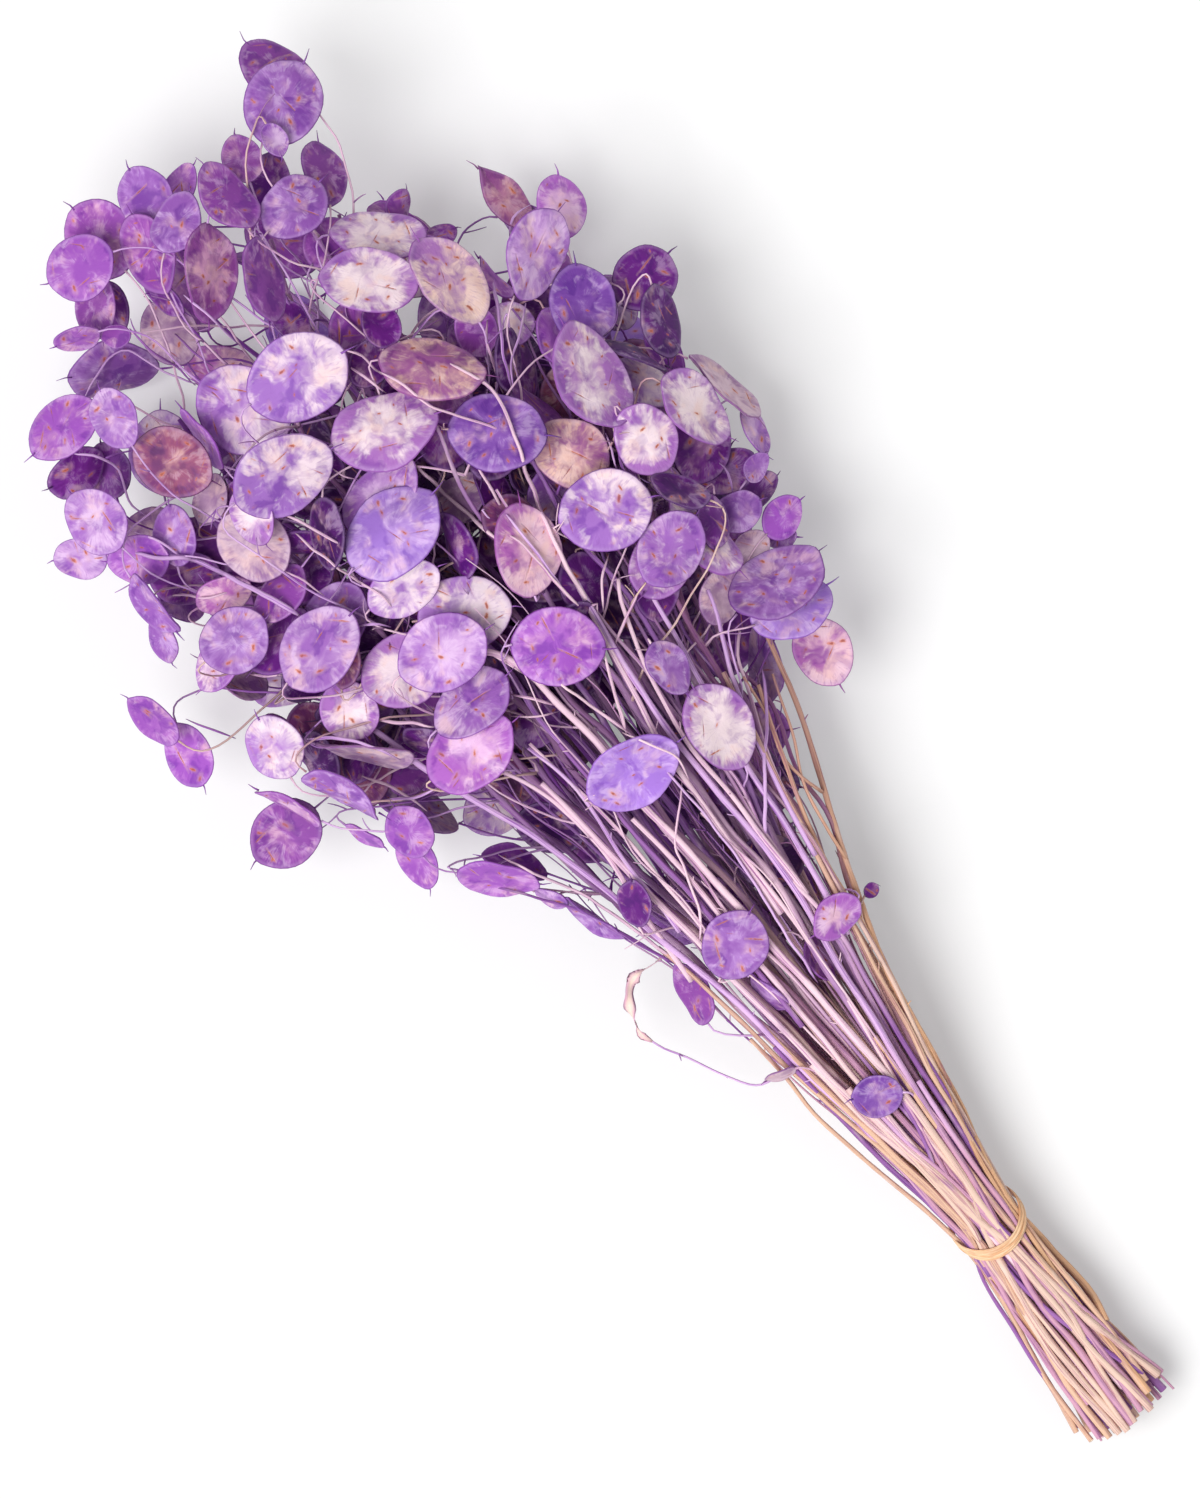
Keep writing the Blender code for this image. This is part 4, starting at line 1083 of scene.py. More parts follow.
OVER_TWIGS = (
    ("pink", 0.6, 0.45, ((-24, 160), (-16, 172), (-12, 186), (-8, 197), (3, 208), (8, 214))),
    ("lilac", 0.8, 0.6, ((20, 176), (35, 197), (50, 215), (59, 230))),
    ("lilac", 0.6, 0.5, ((3, 120), (5, 150), (7, 176), (7, 202), (5, 224))),
    ("purple", 0.7, 0.5, ((-36, 158), (-43, 172), (-50, 190), (-60, 206), (-76, 227))),
    ("pink", 0.7, 0.5, ((-36, 160), (-41, 178), (-48, 200), (-56, 214), (-66, 234))),
    ("pink", 1.0, 0.6, ((20, 288), (22, 304), (25, 322), (30, 340), (34, 352), (38, 365),
                        (40, 376), (38, 386), (32, 398))),
    ("pink", 0.7, 0.5, ((17, 290), (15, 306), (14, 320), (11, 332))),
    ("lilac", 0.7, 0.5, ((15, 298), (16, 312), (16, 326), (15, 338))),
    ("pink", 0.9, 0.7, ((7, 330), (4, 346), (1, 360), (-1, 374))),
    ("pink", 0.7, 0.5, ((16, 338), (17, 350), (18, 362))),
    ("pink", 0.6, 0.5, ((10, 410), (14, 400), (17, 388), (22, 380), (28, 372), (35, 361))),
    ("lilac", 1.2, 0.8, ((-71, 353), (-76, 365), (-83, 380), (-89, 392), (-94, 399), (-101, 404),
                         (-109, 413))),
    ("lilac", 0.6, 0.4, ((-94, 398), (-98, 410), (-103, 418))),
    ("pink", 0.6, 0.4, ((-108, 391), (-101, 386), (-95, 380), (-85, 377))),
    ("pink", 0.8, 0.5, ((-23, 300), (-19, 293), (-16, 284))),
    ("pink", 0.6, 0.6, ((-13, 266), (-18, 273), (-25, 281))),
    ("pink", 0.45, 0.4, ((-14, 264), (-22, 268), (-30, 274))),
    ("pink", 0.9, 0.6, ((-72, 304), (-65, 297), (-60, 293), (-55, 288))),
    ("pink", 0.45, 0.4, ((-65, 296), (-67, 293), (-69, 290))),
    ("lilac", 0.8, 0.5, ((-98, 314), (-88, 307), (-80, 297), (-74, 286))),
    ("lilac", 0.7, 0.5, ((-90, 278), (-78, 271), (-68, 269))),
    ("pink", 0.7, 0.5, ((-90, 290), (-84, 282), (-80, 272), (-78, 264))),
    ("pink", 0.8, 0.5, ((-101, 348), (-97, 344), (-90, 339))),
    ("lilac", 0.7, 0.5, ((-56, 337), (-51, 334), (-46, 329))),
    ("pink", 0.6, 0.4, ((-48, 358), (-45, 350), (-42, 342), (-41, 334))),
    ("pink", 0.7, 0.5, ((-53, 389), (-49, 381), (-45, 371), (-41, 364))),
    ("pink", 0.55, 0.5, ((-54, 381), (-52, 372), (-49, 361), (-45, 350))),
    ("pink", 0.55, 0.4, ((-66, 372), (-62, 363), (-59, 354))),
    ("pink", 0.7, 0.5, ((1, 420), (4, 412), (7, 402))),
    ("pink", 0.55, 0.5, ((3, 426), (8, 419), (9, 412), (11, 407))),
    ("pink", 0.6, 0.4, ((-27, 391), (-25, 385), (-22, 382))),
    ("pink", 0.6, 0.5, ((55, 402), (50, 395), (46, 385), (43, 374))),
    ("lilac", 0.8, 0.5, ((66, 413), (60, 400), (52, 387), (46, 374))),
    ("lilac", 0.6, 0.4, ((71, 398), (62, 390), (52, 382), (46, 373))),
    ("pink", 0.8, 0.5, ((2, 241), (8, 258), (14, 272))),
    ("pink", 0.7, 0.5, ((3, 240), (-3, 260), (-8, 276))),
    ("pink", 0.55, 0.5, ((23, 284), (30, 295), (38, 301))),
    ("pink", 0.7, 0.5, ((18, 271), (28, 277), (40, 283))),
    ("pink", 0.5, 0.4, ((1, 243), (7, 232), (12, 222), (10, 212))),
    ("lilac", 0.6, 0.4, ((65, 339), (63, 332), (60, 324))),
    ("lilac", 0.6, 0.4, ((90, 290), (94, 299), (93, 306))),
    ("lilac", 0.7, 0.4, ((82, 423), (87, 428), (95, 428))),
    ("lilac", 0.5, 0.4, ((-88, 473), (-80, 476), (-71, 479), (-63, 477), (-59, 466), (-53, 455),
                         (-49, 449))),
    ("purple", 0.5, 0.4, ((-57, 482), (-56, 470), (-52, 460), (-50, 450))),
    ("lilac", 0.6, 0.4, ((-33, 479), (-30, 466), (-27, 451))),
    ("purple", 0.5, 0.4, ((-45, 471), (-43, 461), (-40, 451))),
    ("lilac", 0.6, 0.4, ((-104, 457), (-97, 450), (-94, 442), (-98, 430), (-96, 421))),
    ("purple", 0.5, 0.4, ((-120, 331), (-126, 340), (-131, 349))),
)
FRONT_SEED = 19
FRONT_SWAY = 1.1
# The tie holds these stems down: middle of its hold, half its reach, and the length to get free.
FRONT_HOLD = (3.0, 6.0, 16.0)
FRONT_CUTS_TO = -40.0
FRONT_STUBS_FROM = 70.0
FRONT_LOW_DYES = {"pink": "peach", "lilac": "mauve"}
FRONT_HIGH_DYES = {"mauve": "lilac", "peach": "pink"}
STEMS_SHOW_TO = 300.0
CREST_REACH = 8.0
TWIG_DIVE = 7.0

# The loose papery strip, half of a pod that has split, on the thread that still holds it.
STRIP = ((-38, 164, 46, 0.8), (-44, 164, 46, 1.6), (-50, 164.5, 45, 2.8), (-55, 163, 43, 3.4),
         (-59, 159, 41, 2.6), (-62, 154, 39, 4.2), (-63, 149, 37, 4.4), (-64, 145, 36, 2.4),
         (-62, 140, 35, 0.8))
THREAD = ((-62, 140, 35), (-60, 135, 34), (-55, 127, 33), (-50, 117, 33), (-46, 110, 34),
          (-42, 104, 35), (-38, 101, 36), (-33, 100, 37))
THREAD_RADIUS = 0.42
THREAD_STUB = (1.5, 3.0)
# Corners round the strip's section, across and up, and its colours.
STRIP_SECTION = ((-1, 0), (-0.5, 0.22), (0, 0.3), (0.5, 0.22), (1, 0),
                 (0.5, -0.05), (0, 0.02), (-0.5, -0.05))
STRIP_DYES = ((246, 222, 206), (166, 88, 166), (224, 164, 190))


def bundle_top(x, y):
    """Height of the upper side of the bundle of stems."""
    grow = spread(y)
    lean = min(1.0, abs(x) / (BUNDLE_HALF_WIDTH * grow))
    half = BUNDLE_HALF_HEIGHT * (1.0 + (grow - 1.0) * FLATTENING)
    return axis_height(y) + half * math.sqrt(1.0 - lean * lean)


def top_at(x, y):
    """Height of the highest pod or stem at a place, as seen from above."""
    best = 0.0
    for tree, low, high, _ in placed:
        if low.x <= x <= high.x and low.y <= y <= high.y and high.z > best:
            hit = tree.ray_cast(Vector((x, y, 400.0)), Vector((0.0, 0.0, -1.0)))[0]
            if hit:
                best = max(best, hit.z)
    return best


def smooth_path(marks, step):
    """Points of an even, smooth line through marks of any number of values."""
    marks = [Vector(mark) for mark in marks]
    marks = [marks[0] * 2 - marks[1]] + marks + [marks[-1] * 2 - marks[-2]]
    points = []
    for a, b, c, d in zip(marks, marks[1:], marks[2:], marks[3:]):
        count = max(1, round((c - b).length / step))
        for k in range(count):
            t = k / count
            points.append(0.5 * (2 * b + (c - a) * t + (2 * a - 5 * b + 4 * c - d) * t * t
                                 + (3 * b - a - 3 * c + d) * t ** 3))
    return points + [marks[-2]]


def front_stem(skin, dye, foot, tip, marks, chance):
    """One of the upper stems, laid on the bundle."""
    wander = chance.uniform(0.0, 50.0)
    held_at, held, loosening = FRONT_HOLD
    points, radii = [], []
    flat = smooth_path(marks, 4.0)
    for k, (x, y) in enumerate(flat):
        radius = foot + (tip - foot) * k / (len(flat) - 1)
        away = min(1.0, max(0.0, abs(y - held_at) - held) / loosening)
        sway = noise.noise_vector(Vector((wander, y * 0.035, 0.0))) * FRONT_SWAY * away
        points.append(Vector((x + sway.x, y, bundle_top(x, y) + sway.z
                              + radius * (1.1 * away - 0.35))))
        radii.append(radius * (1.0 + 0.14 * noise.noise(Vector((k * 0.4, foot * 9, x)))))
    ys = [point.y for point in points]
    low_dye = STEM_DYES[FRONT_LOW_DYES.get(dye, dye)]
    high_dye = STEM_DYES[FRONT_HIGH_DYES.get(dye, dye)]
    dyes = dyes_along(ys, low_dye, high_dye, 30.0, wander)
    add_stalk(skin, points, radii, 10, dyes, chance, ribs=RIB_DEPTH, cut=ys[0] < FRONT_CUTS_TO,
              deep=TOP_TWIG_DEPTH)
    upper = [k for k, y in enumerate(ys) if y > FRONT_STUBS_FROM]
    if len(upper) > 5:
        stubs_on(skin, points[upper[0]:], dyes[upper[0]:], len(upper) // 10, SHORT_STUB, chance)


def over_twig(skin, dye, foot, tip, marks, chance):
    """A thin twig that rests on the highest pods and stems along its way."""
    flat = smooth_path(marks, 2.5)
    tops = [max(top_at(x, y), bundle_top(x, y) if y < STEMS_SHOW_TO else 0.0) for x, y in flat]
    for near, far in ((range(len(tops) - 1), range(1, len(tops))),
                      (range(len(tops) - 1, 0, -1), range(len(tops) - 2, -1, -1))):
        for j, k in zip(near, far):
            tops[k] = tops[k] or tops[j]
    crests = [max(tops[j] for j in range(len(flat)) if (flat[j] - flat[k]).length <= CREST_REACH)
              for k in range(len(flat))]
    wander = chance.uniform(0.0, 50.0)
    points, radii = [], []
    for k, (x, y) in enumerate(flat):
        near = [crests[j] for j in range(len(flat)) if (flat[j] - flat[k]).length <= CREST_REACH]
        from_end = min((flat[k] - flat[0]).length, (flat[k] - flat[-1]).length)
        dive = TWIG_DIVE * max(0.0, 1.0 - from_end / TWIG_DIVE) ** 2
        kink = noise.noise_vector(Vector((wander, k * 0.30, 0.0))) * 0.7
        points.append(Vector((x + kink.x, y + kink.y, sum(near) / len(near) + 1.0 - dive)))
        radii.append((foot + (tip - foot) * k / (len(flat) - 1)) * min(1.0, 0.35 + from_end * 0.11))
    dyes = [painted(dye)] * len(points)
    add_stalk(skin, points, radii, 8, dyes, chance, ribs=RIB_DEPTH, deep=TOP_TWIG_DEPTH)


front_chance = random.Random(FRONT_SEED)
skin = Skin()
for row in FRONT_STEMS:
    front_stem(skin, *row, front_chance)
for row in OVER_TWIGS:
    over_twig(skin, *row, front_chance)
thread = smooth_path(THREAD, 3.0)
add_stalk(skin, thread, [THREAD_RADIUS] * len(thread), TWIG_ROUND, [painted("lilac")] * len(thread),
          front_chance)
stubs_on(skin, thread, [painted("purple")] * len(thread), 3, THREAD_STUB, front_chance)
ribbon = smooth_path(STRIP, 1.5)
rings = []
for k, (x, y, z, width) in enumerate(ribbon):
    ahead = (ribbon[min(k + 1, len(ribbon) - 1)] - ribbon[max(k - 1, 0)]).to_3d().normalized()
    turn = 0.45 + 1.25 * math.sin(k * 0.34)
    flat = ahead.cross(Vector((0, 0, 1))).normalized()
    side = flat * math.cos(turn) + ahead.cross(flat) * math.sin(turn)
    lift = ahead.cross(side)
    ragged = 1.0 + 0.35 * noise.noise(Vector((k * 0.45, 3.0, 0.0)))
    ring = []
    for across, up in STRIP_SECTION:
        tint = towards(paint(STRIP_DYES[0]), paint(STRIP_DYES[1]), abs(across) ** 2 * 0.75)
        ring.append(skin.add(Vector((x, y, z)) + side * across * width * 0.75 * ragged + lift * up,
                             grain=(across * 0.5, up, k * 0.05), dye=tint,
                             second=paint(STRIP_DYES[2]), spot=(across, 2.0, k * 0.2)))
    rings.append(ring)
for near, far in zip(rings, rings[1:]):
    skin.close(near, far)
skin.faces.append(tuple(reversed(rings[0])))
skin.faces.append(tuple(rings[-1]))
skin.piece("front_stems", dyed_stem, None, "dyed_plant")

# ---------------------------------------------------------------------------------------------
# The pods themselves: two papery skins on a wire-thin oval rim, with a thread-like beak. The
# seeds show through as small rusty marks, fine veins run in from the rim, and the dye pooled
# in blotches and left pale windows.
POD_ROUND = 32
POD_RADII = (0.16, 0.34, 0.52, 0.68, 0.81, 0.90, 0.955, 0.985, 1.0)
PUFF = 0.75
SKIN_THICKNESS = 0.16
RIM_SWELLING = 0.22
WARP = 1.7
WRINKLE = 0.9
CREASED_SHARE = 0.35
CREASE = 2.6
RIM_CURL = 0.5
EGG = (-0.05, 0.10)
USUAL_LENGTH = 36.0
SHADE_SPREAD = 0.10
SHARE_SPREAD = 0.12
LEAF_WIDTH = 0.70
# The beak's sections past the tip: share of the pod's length, and radius.
BEAK_SECTIONS = ((-0.03, 0.45), (0.05, 0.30), (BEAK_SHARE, 0.12))
# The marks of the seeds and the thin threads that they hang on: place in the pattern, how close
# they stand, half width, half length, and the share of them that is left out.
SEED_MARKS = ((0.0, 1.15, 0.055, 0.125, 0.28), (5.0, 0.95, 0.022, 0.300, 0.55))
# Main dye, second colour, how much of the second, and how it lies: all over, on one side
# (degrees from +X), or in the middle.
POD_DYES = {
    "violet": ((140, 82, 168), (182, 134, 204), 0.40, None),
    "blue": ((158, 114, 204), (206, 168, 228), 0.36, None),
    "indigo": ((118, 66, 160), (158, 108, 192), 0.40, None),
    "clear": ((164, 118, 212), (198, 158, 228), 0.50, None),
    "purple": ((134, 62, 154), (170, 98, 182), 0.35, None),
    "magenta": ((154, 80, 182), (192, 126, 204), 0.42, None),
    "orchid": ((172, 98, 190), (228, 184, 222), 0.46, "middle"),
    "lilac": ((156, 98, 184), (208, 168, 216), 0.48, None),
    "half": ((172, 118, 198), (240, 220, 228), 0.60, -15.0),
    "cream": ((172, 112, 190), (248, 226, 232), 0.66, "middle"),
    "marbled": ((160, 108, 192), (240, 216, 226), 0.46, 10.0),
    "apricot": ((174, 116, 186), (252, 218, 208), 0.72, -60.0),
    "pink": ((176, 100, 176), (238, 194, 208), 0.55, -40.0),
    "streaked": ((158, 80, 164), (230, 170, 206), 0.50, "middle"),
    "mauve": ((156, 112, 160), (212, 180, 196), 0.55, None),
    "amber": ((164, 92, 156), (238, 194, 178), 0.56, None),
    "maroon": ((108, 46, 102), (152, 80, 108), 0.45, None),
    "leaf": ((136, 70, 132), (182, 116, 146), 0.45, None),
    # The dark and deep dyes are partly painted shade: darker and more saturated than the dye alone,
    # for the shade and the light through the pods deep in the head.
    "dark": ((98, 24, 122), (136, 54, 156), 0.38, None),
    "deep": ((70, 12, 92), (100, 28, 122), 0.38, None),
}


def pod_finish():
    """Papery skin: dye, pale windows, blotches, veins, rusty seed marks and a darker rim."""
    finish = Finish("papery_pod")
    place = attribute(finish, "place")
    ray = attribute(finish, "ray")
    edge = attribute(finish, "edge", "Fac")
    pale = attribute(finish, "pale", "Fac")
    dye = attribute(finish, "dye", "Color")
    second = attribute(finish, "second", "Color")
    swirl = finish.add("TexNoise", {}, {"Vector": place, "Scale": 1.1, "Detail": 2.0}, "Color")
    swirl = finish.add("VectorMath", {"operation": "SUBTRACT"}, {0: swirl, 1: (0.5, 0.5, 0.5)})
    swirl = finish.add("VectorMath", {"operation": "MULTIPLY_ADD"},
                       {0: swirl, 1: (1.3, 1.3, 1.3), 2: place})
    cloud = noise_of(finish, swirl, 0.75, 2.0, 0.5)
    mottle = noise_of(finish, swirl, 1.7, 3.0, 0.55)
    pools = noise_of(finish, swirl, 1.15, 3.0, 0.5)
    speckle = noise_of(finish, place, 6.0, 4.0, 0.7)
    veins = noise_of(finish, ray, 1.0, 3.0, 0.6)
    fringe = noise_of(finish, ray, 2.6, 2.0, 0.6)
    near_rim = step_of(finish, edge, 0.35, 0.95)

    share = step_of(finish, pale + (cloud - 0.5) * 1.7 + (mottle - 0.5) * 1.1
                    + (veins - 0.5) * near_rim * 1.8, 0.12, 0.92)
    colour = blend(finish, share, dye, second)
    pool = step_of(finish, pools + (veins - 0.5) * near_rim * 0.3, 0.50, 0.64)
    colour = blend(finish, pool * (1.0 - 0.55 * share) * 0.70, colour,
                   blend(finish, 1.0, dye, (*paint((196, 160, 222)), 1.0), "MULTIPLY"))
    gleam = step_of(finish, mottle * 0.5 + cloud * 0.3 + fringe * 0.2, 0.50, 0.62) * 0.40
    colour = blend(finish, gleam, colour, blend(finish, 0.5, second, (0.95, 0.80, 0.94, 1.0)))
    lines = step_of(finish, fringe + (speckle - 0.5) * 0.3, 0.44, 0.34) * (0.10 + 0.28 * near_rim)
    colour = blend(finish, lines, colour, blend(finish, 0.6, dye, (*paint((126, 62, 158)), 1.0)))
    warm = step_of(finish, noise_of(finish, place, 1.1, 2.0), 0.50, 0.66) * share * 0.34
    colour = blend(finish, warm, colour, (*paint((250, 206, 188)), 1.0))

    for seeds, scale, wide, long, least in SEED_MARKS:
        spots = finish.add("VectorMath", {"operation": "ADD"}, {0: place, 1: (seeds, seeds, 0.0)})
        cells = finish.add("TexVoronoi", {"voronoi_dimensions": "2D"},
                           {"Vector": spots, "Scale": scale, "Randomness": 0.9}, "Position")
        lot = finish.add("TexVoronoi", {"voronoi_dimensions": "2D"},
                         {"Vector": spots, "Scale": scale, "Randomness": 0.9}, "Color")
        offset = finish.add("VectorMath", {"operation": "SUBTRACT"}, {0: spots, 1: cells})
        side = finish.add("SeparateXYZ", {}, {"Vector": offset}, "X")
        along = finish.add("SeparateXYZ", {}, {"Vector": offset}, "Y")
        turn = finish.add("SeparateColor", {}, {"Color": lot}, "Red")
        keep = finish.add("SeparateColor", {}, {"Color": lot}, "Green")
        size = finish.add("SeparateColor", {}, {"Color": lot}, "Blue")
        angle = turn * math.tau
        cosine = finish.add("Math", {"operation": "COSINE"}, {0: angle})
        sine = finish.add("Math", {"operation": "SINE"}, {0: angle})
        across = side * cosine + along * sine
        down = along * cosine - side * sine
        reach = ((across / wide) ** 2.0 + (down / long) ** 2.0) ** 0.5 / (0.55 + size * 0.60)
        reach = reach + (speckle - 0.5) * 3.0
        kept = step_of(finish, keep, least, least + 0.02) * step_of(finish, edge, 0.88, 0.76)
        halo = step_of(finish, reach, 3.6, 1.0) * kept
        seed = step_of(finish, reach, 1.50, 0.55) * kept
        core = step_of(finish, reach, 0.80, 0.20) * kept
        ink = blend(finish, share, (*paint((150, 74, 122)), 1.0), (*paint((214, 126, 82)), 1.0))
        stain = blend(finish, size, (*paint((146, 76, 164)), 1.0), (*paint((236, 190, 172)), 1.0))
        colour = blend(finish, halo * 0.26, colour, stain)
        rust = blend(finish, keep, ink, (*paint((210, 118, 72)), 1.0))
        colour = blend(finish, seed * 0.80, colour, rust)
        colour = blend(finish, core * 0.65, colour, (*paint((138, 62, 66)), 1.0))

    band = step_of(finish, edge, 0.84, 0.95)
    colour = blend(finish, band * 0.30, colour, blend(finish, 0.5, dye, (0.70, 0.50, 0.80, 1.0)))
    rim = step_of(finish, edge, 0.965, 0.985)
    colour = blend(finish, rim * 0.7, colour,
                   blend(finish, 1.0, dye, (*paint((206, 160, 216)), 1.0), "MULTIPLY"))

    height = mottle * 0.6 + fringe * near_rim * 0.5 + speckle * 0.10 + halo * 0.30 + seed * 0.2
    bump = finish.add("Bump", {}, {"Strength": 0.6, "Distance": 0.0008, "Height": height})
    shader = finish.add("BsdfPrincipled", {}, {
        "Base Color": colour, "Roughness": 0.46 + mottle * 0.2, "Specular IOR Level": 0.24,
        "Normal": bump})
    finish.add("OutputMaterial", {}, {"Surface": shader})
    return finish.material


def add_pod(skin, pod, chance):
    """One pod: two skins that meet at the rim, gently warped, and its beak."""
    main, second, share, lie = POD_DYES[pod.dye]
    shade = 1.0 + chance.uniform(-SHADE_SPREAD, SHADE_SPREAD)
    main = [value * shade for value in paint(main)]
    second = [value * shade for value in paint(second)]
    share += chance.uniform(-SHARE_SPREAD, SHARE_SPREAD)
    offset = Vector((chance.uniform(0, 80), chance.uniform(0, 80), chance.uniform(0, 80)))
    bowl, saddle, twist = (chance.uniform(-WARP, WARP) for _ in range(3))
    ripple = chance.uniform(0.0, math.tau)
    egg = chance.uniform(*EGG)
    crease = CREASE * chance.choice((-1.0, 1.0)) * (chance.random() < CREASED_SHARE)
    fold = chance.uniform(0.0, math.pi)
    middle = pod.base + pod.along * (pod.length / 2)
    size = pod.length / USUAL_LENGTH

    def place(radius, angle, side):
        # A point of the upper or lower skin, or of the rim where side is nought.
        u, v = math.cos(angle), math.sin(angle)
        point = 0.035 * math.exp(-((abs(v) - 1.0) / 0.03) ** 2)
        wave = 0.020 * math.sin(3 * angle + ripple) + 0.012 * math.sin(5 * angle + 2.3 * ripple)
        width = pod.width / 2 * (1.0 - egg * v) * (1.0 + wave)
        if pod.dye == "leaf":
            width *= LEAF_WIDTH * (1.0 - v * v) ** 0.35 * (1.0 - 0.3 * v)
        x = u * radius * width
        y = v * radius * pod.length / 2 * (1.0 + point)
        u, v = u * radius, v * radius
        lift = (bowl * (u * u + v * v) + saddle * (u * u - v * v) + twist * u * v) * size
        lift += WRINKLE * size * noise.noise(Vector((x * 0.11, y * 0.11, 0)) + offset)
        across_fold = u * math.cos(fold) + v * math.sin(fold)
        lift += crease * size * (math.sqrt(across_fold ** 2 + 0.02) - 0.35)
        lift += 0.22 * size * radius ** 3 * noise.noise(Vector((u * 5.0, v * 5.0, 4.0)) + offset)
        lift += RIM_CURL * size * radius ** 5 * math.sin(4 * angle + ripple)
        thick = SKIN_THICKNESS + PUFF * size * math.sqrt(max(0.0, 1 - radius * radius)) * 0.8
        if 0.93 < radius < 0.98:
            thick += RIM_SWELLING
        if radius == 1.0:
            thick = 0.0
        spot = middle + pod.across * x + pod.along * y + pod.face * (lift + side * thick)
        if lie == "middle":
            window = share + 0.30 - 0.75 * radius ** 1.6
        elif lie is None:
            window = share
        else:
            ray = pod.across * u + pod.along * v
            lean = math.radians(lie)
            window = share + 0.42 * (ray.x * math.cos(lean) + ray.y * math.sin(lean))
        window += 0.25 * noise.noise(Vector((x * 0.07, y * 0.07, side * 0.15)) + offset * 2)
        return skin.add(spot, edge=float(radius), pale=float(window), dye=main, second=second,
                        place=(x * 0.1 + offset.x, y * 0.1 + offset.y, offset.z + side * 0.3),
                        ray=(math.cos(angle) * 4.2 + offset.x, math.sin(angle) * 4.2 + offset.y,
                             radius * 1.3 + offset.z))

    angles = [math.tau * k / POD_ROUND for k in range(POD_ROUND)]
    rim = [place(1.0, angle, 0) for angle in angles]
    for side in (1, -1):
        centre = place(0.0, 0.0, side)
        rings = [[place(radius, angle, side) for angle in angles] for radius in POD_RADII[:-1]]
        rings.append(rim)
        for k in range(POD_ROUND):
            after = (k + 1) % POD_ROUND
            face = (centre, rings[0][k], rings[0][after])
            skin.faces.append(face if side > 0 else face[::-1])
            for near, far in zip(rings, rings[1:]):
                face = (near[k], far[k], far[after], near[after])
                skin.faces.append(face if side > 0 else face[::-1])
    tip = pod.base + pod.along * pod.length
    lean = pod.across * chance.uniform(-1.5, 1.5) + pod.face * chance.uniform(-1.0, 1.0)
    rings = []
    for part, radius in BEAK_SECTIONS:
        spot = tip + pod.along * (part * pod.length) + lean * (part / BEAK_SHARE) ** 2
        ring = []
        for turn in (0.0, math.pi / 2, math.pi, 3 * math.pi / 2):
            out = (pod.across * math.cos(turn) + pod.face * math.sin(turn)) * radius
            ring.append(skin.add(spot + out, edge=1.0, pale=0.0, dye=main, second=second,
                                 place=tuple(offset), ray=tuple(offset)))
        rings.append(ring)
    for near, far in zip(rings, rings[1:]):
        skin.close(far, near)
    skin.faces.append(tuple(rings[0]))
    skin.faces.append(tuple(reversed(rings[-1])))


papery_pod = pod_finish()
for number, stem in enumerate(stems, start=1):
    if not stem.twigs:
        continue
    skin = Skin()
    for _, _, pod in stem.twigs:
        add_pod(skin, pod, look_chance)
    skin.piece(f"spray_{number:02d}_pods", papery_pod, f"honesty_stem_{number:02d}", "dyed_plant")

# ---------------------------------------------------------------------------------------------
# The tie: a strip of dried straw, wound once round the stems and tucked under itself. It lies
# slanted, lower on the upper side, and fine fibres run along it.
TIE_GAP = 0.3
TIE_WIDTH = 3.6
TIE_THICKNESS = 1.0
TIE_SLANT = 1.0
TIE_SLACK = 0.8
TIE_ROUND = 120
TIE_PROFILE = 15


def tie_finish():
    """Dry straw with fibres along it and darker blotches."""
    finish = Finish("straw")
    along = attribute(finish, "grain")
    fibres = noise_of(finish, along, 1.0, 4.0, 0.65)
    cloud = noise_of(finish, attribute(finish, "spot"), 1.0, 3.0)
    colour = blend(finish, step_of(finish, fibres, 0.35, 0.65), (*paint((218, 164, 120)), 1.0),
                   (*paint((250, 216, 178)), 1.0))
    colour = blend(finish, step_of(finish, cloud, 0.52, 0.72) * 0.45, colour,
                   (*paint((206, 160, 130)), 1.0))
    bump = finish.add("Bump", {}, {"Strength": 0.8, "Distance": 0.0004, "Height": fibres})
    shader = finish.add("BsdfPrincipled", {}, {
        "Base Color": colour, "Roughness": 0.42 + fibres * 0.2, "Specular IOR Level": 0.4,
        "Normal": bump})
    finish.add("OutputMaterial", {}, {"Surface": shader})
    return finish.material


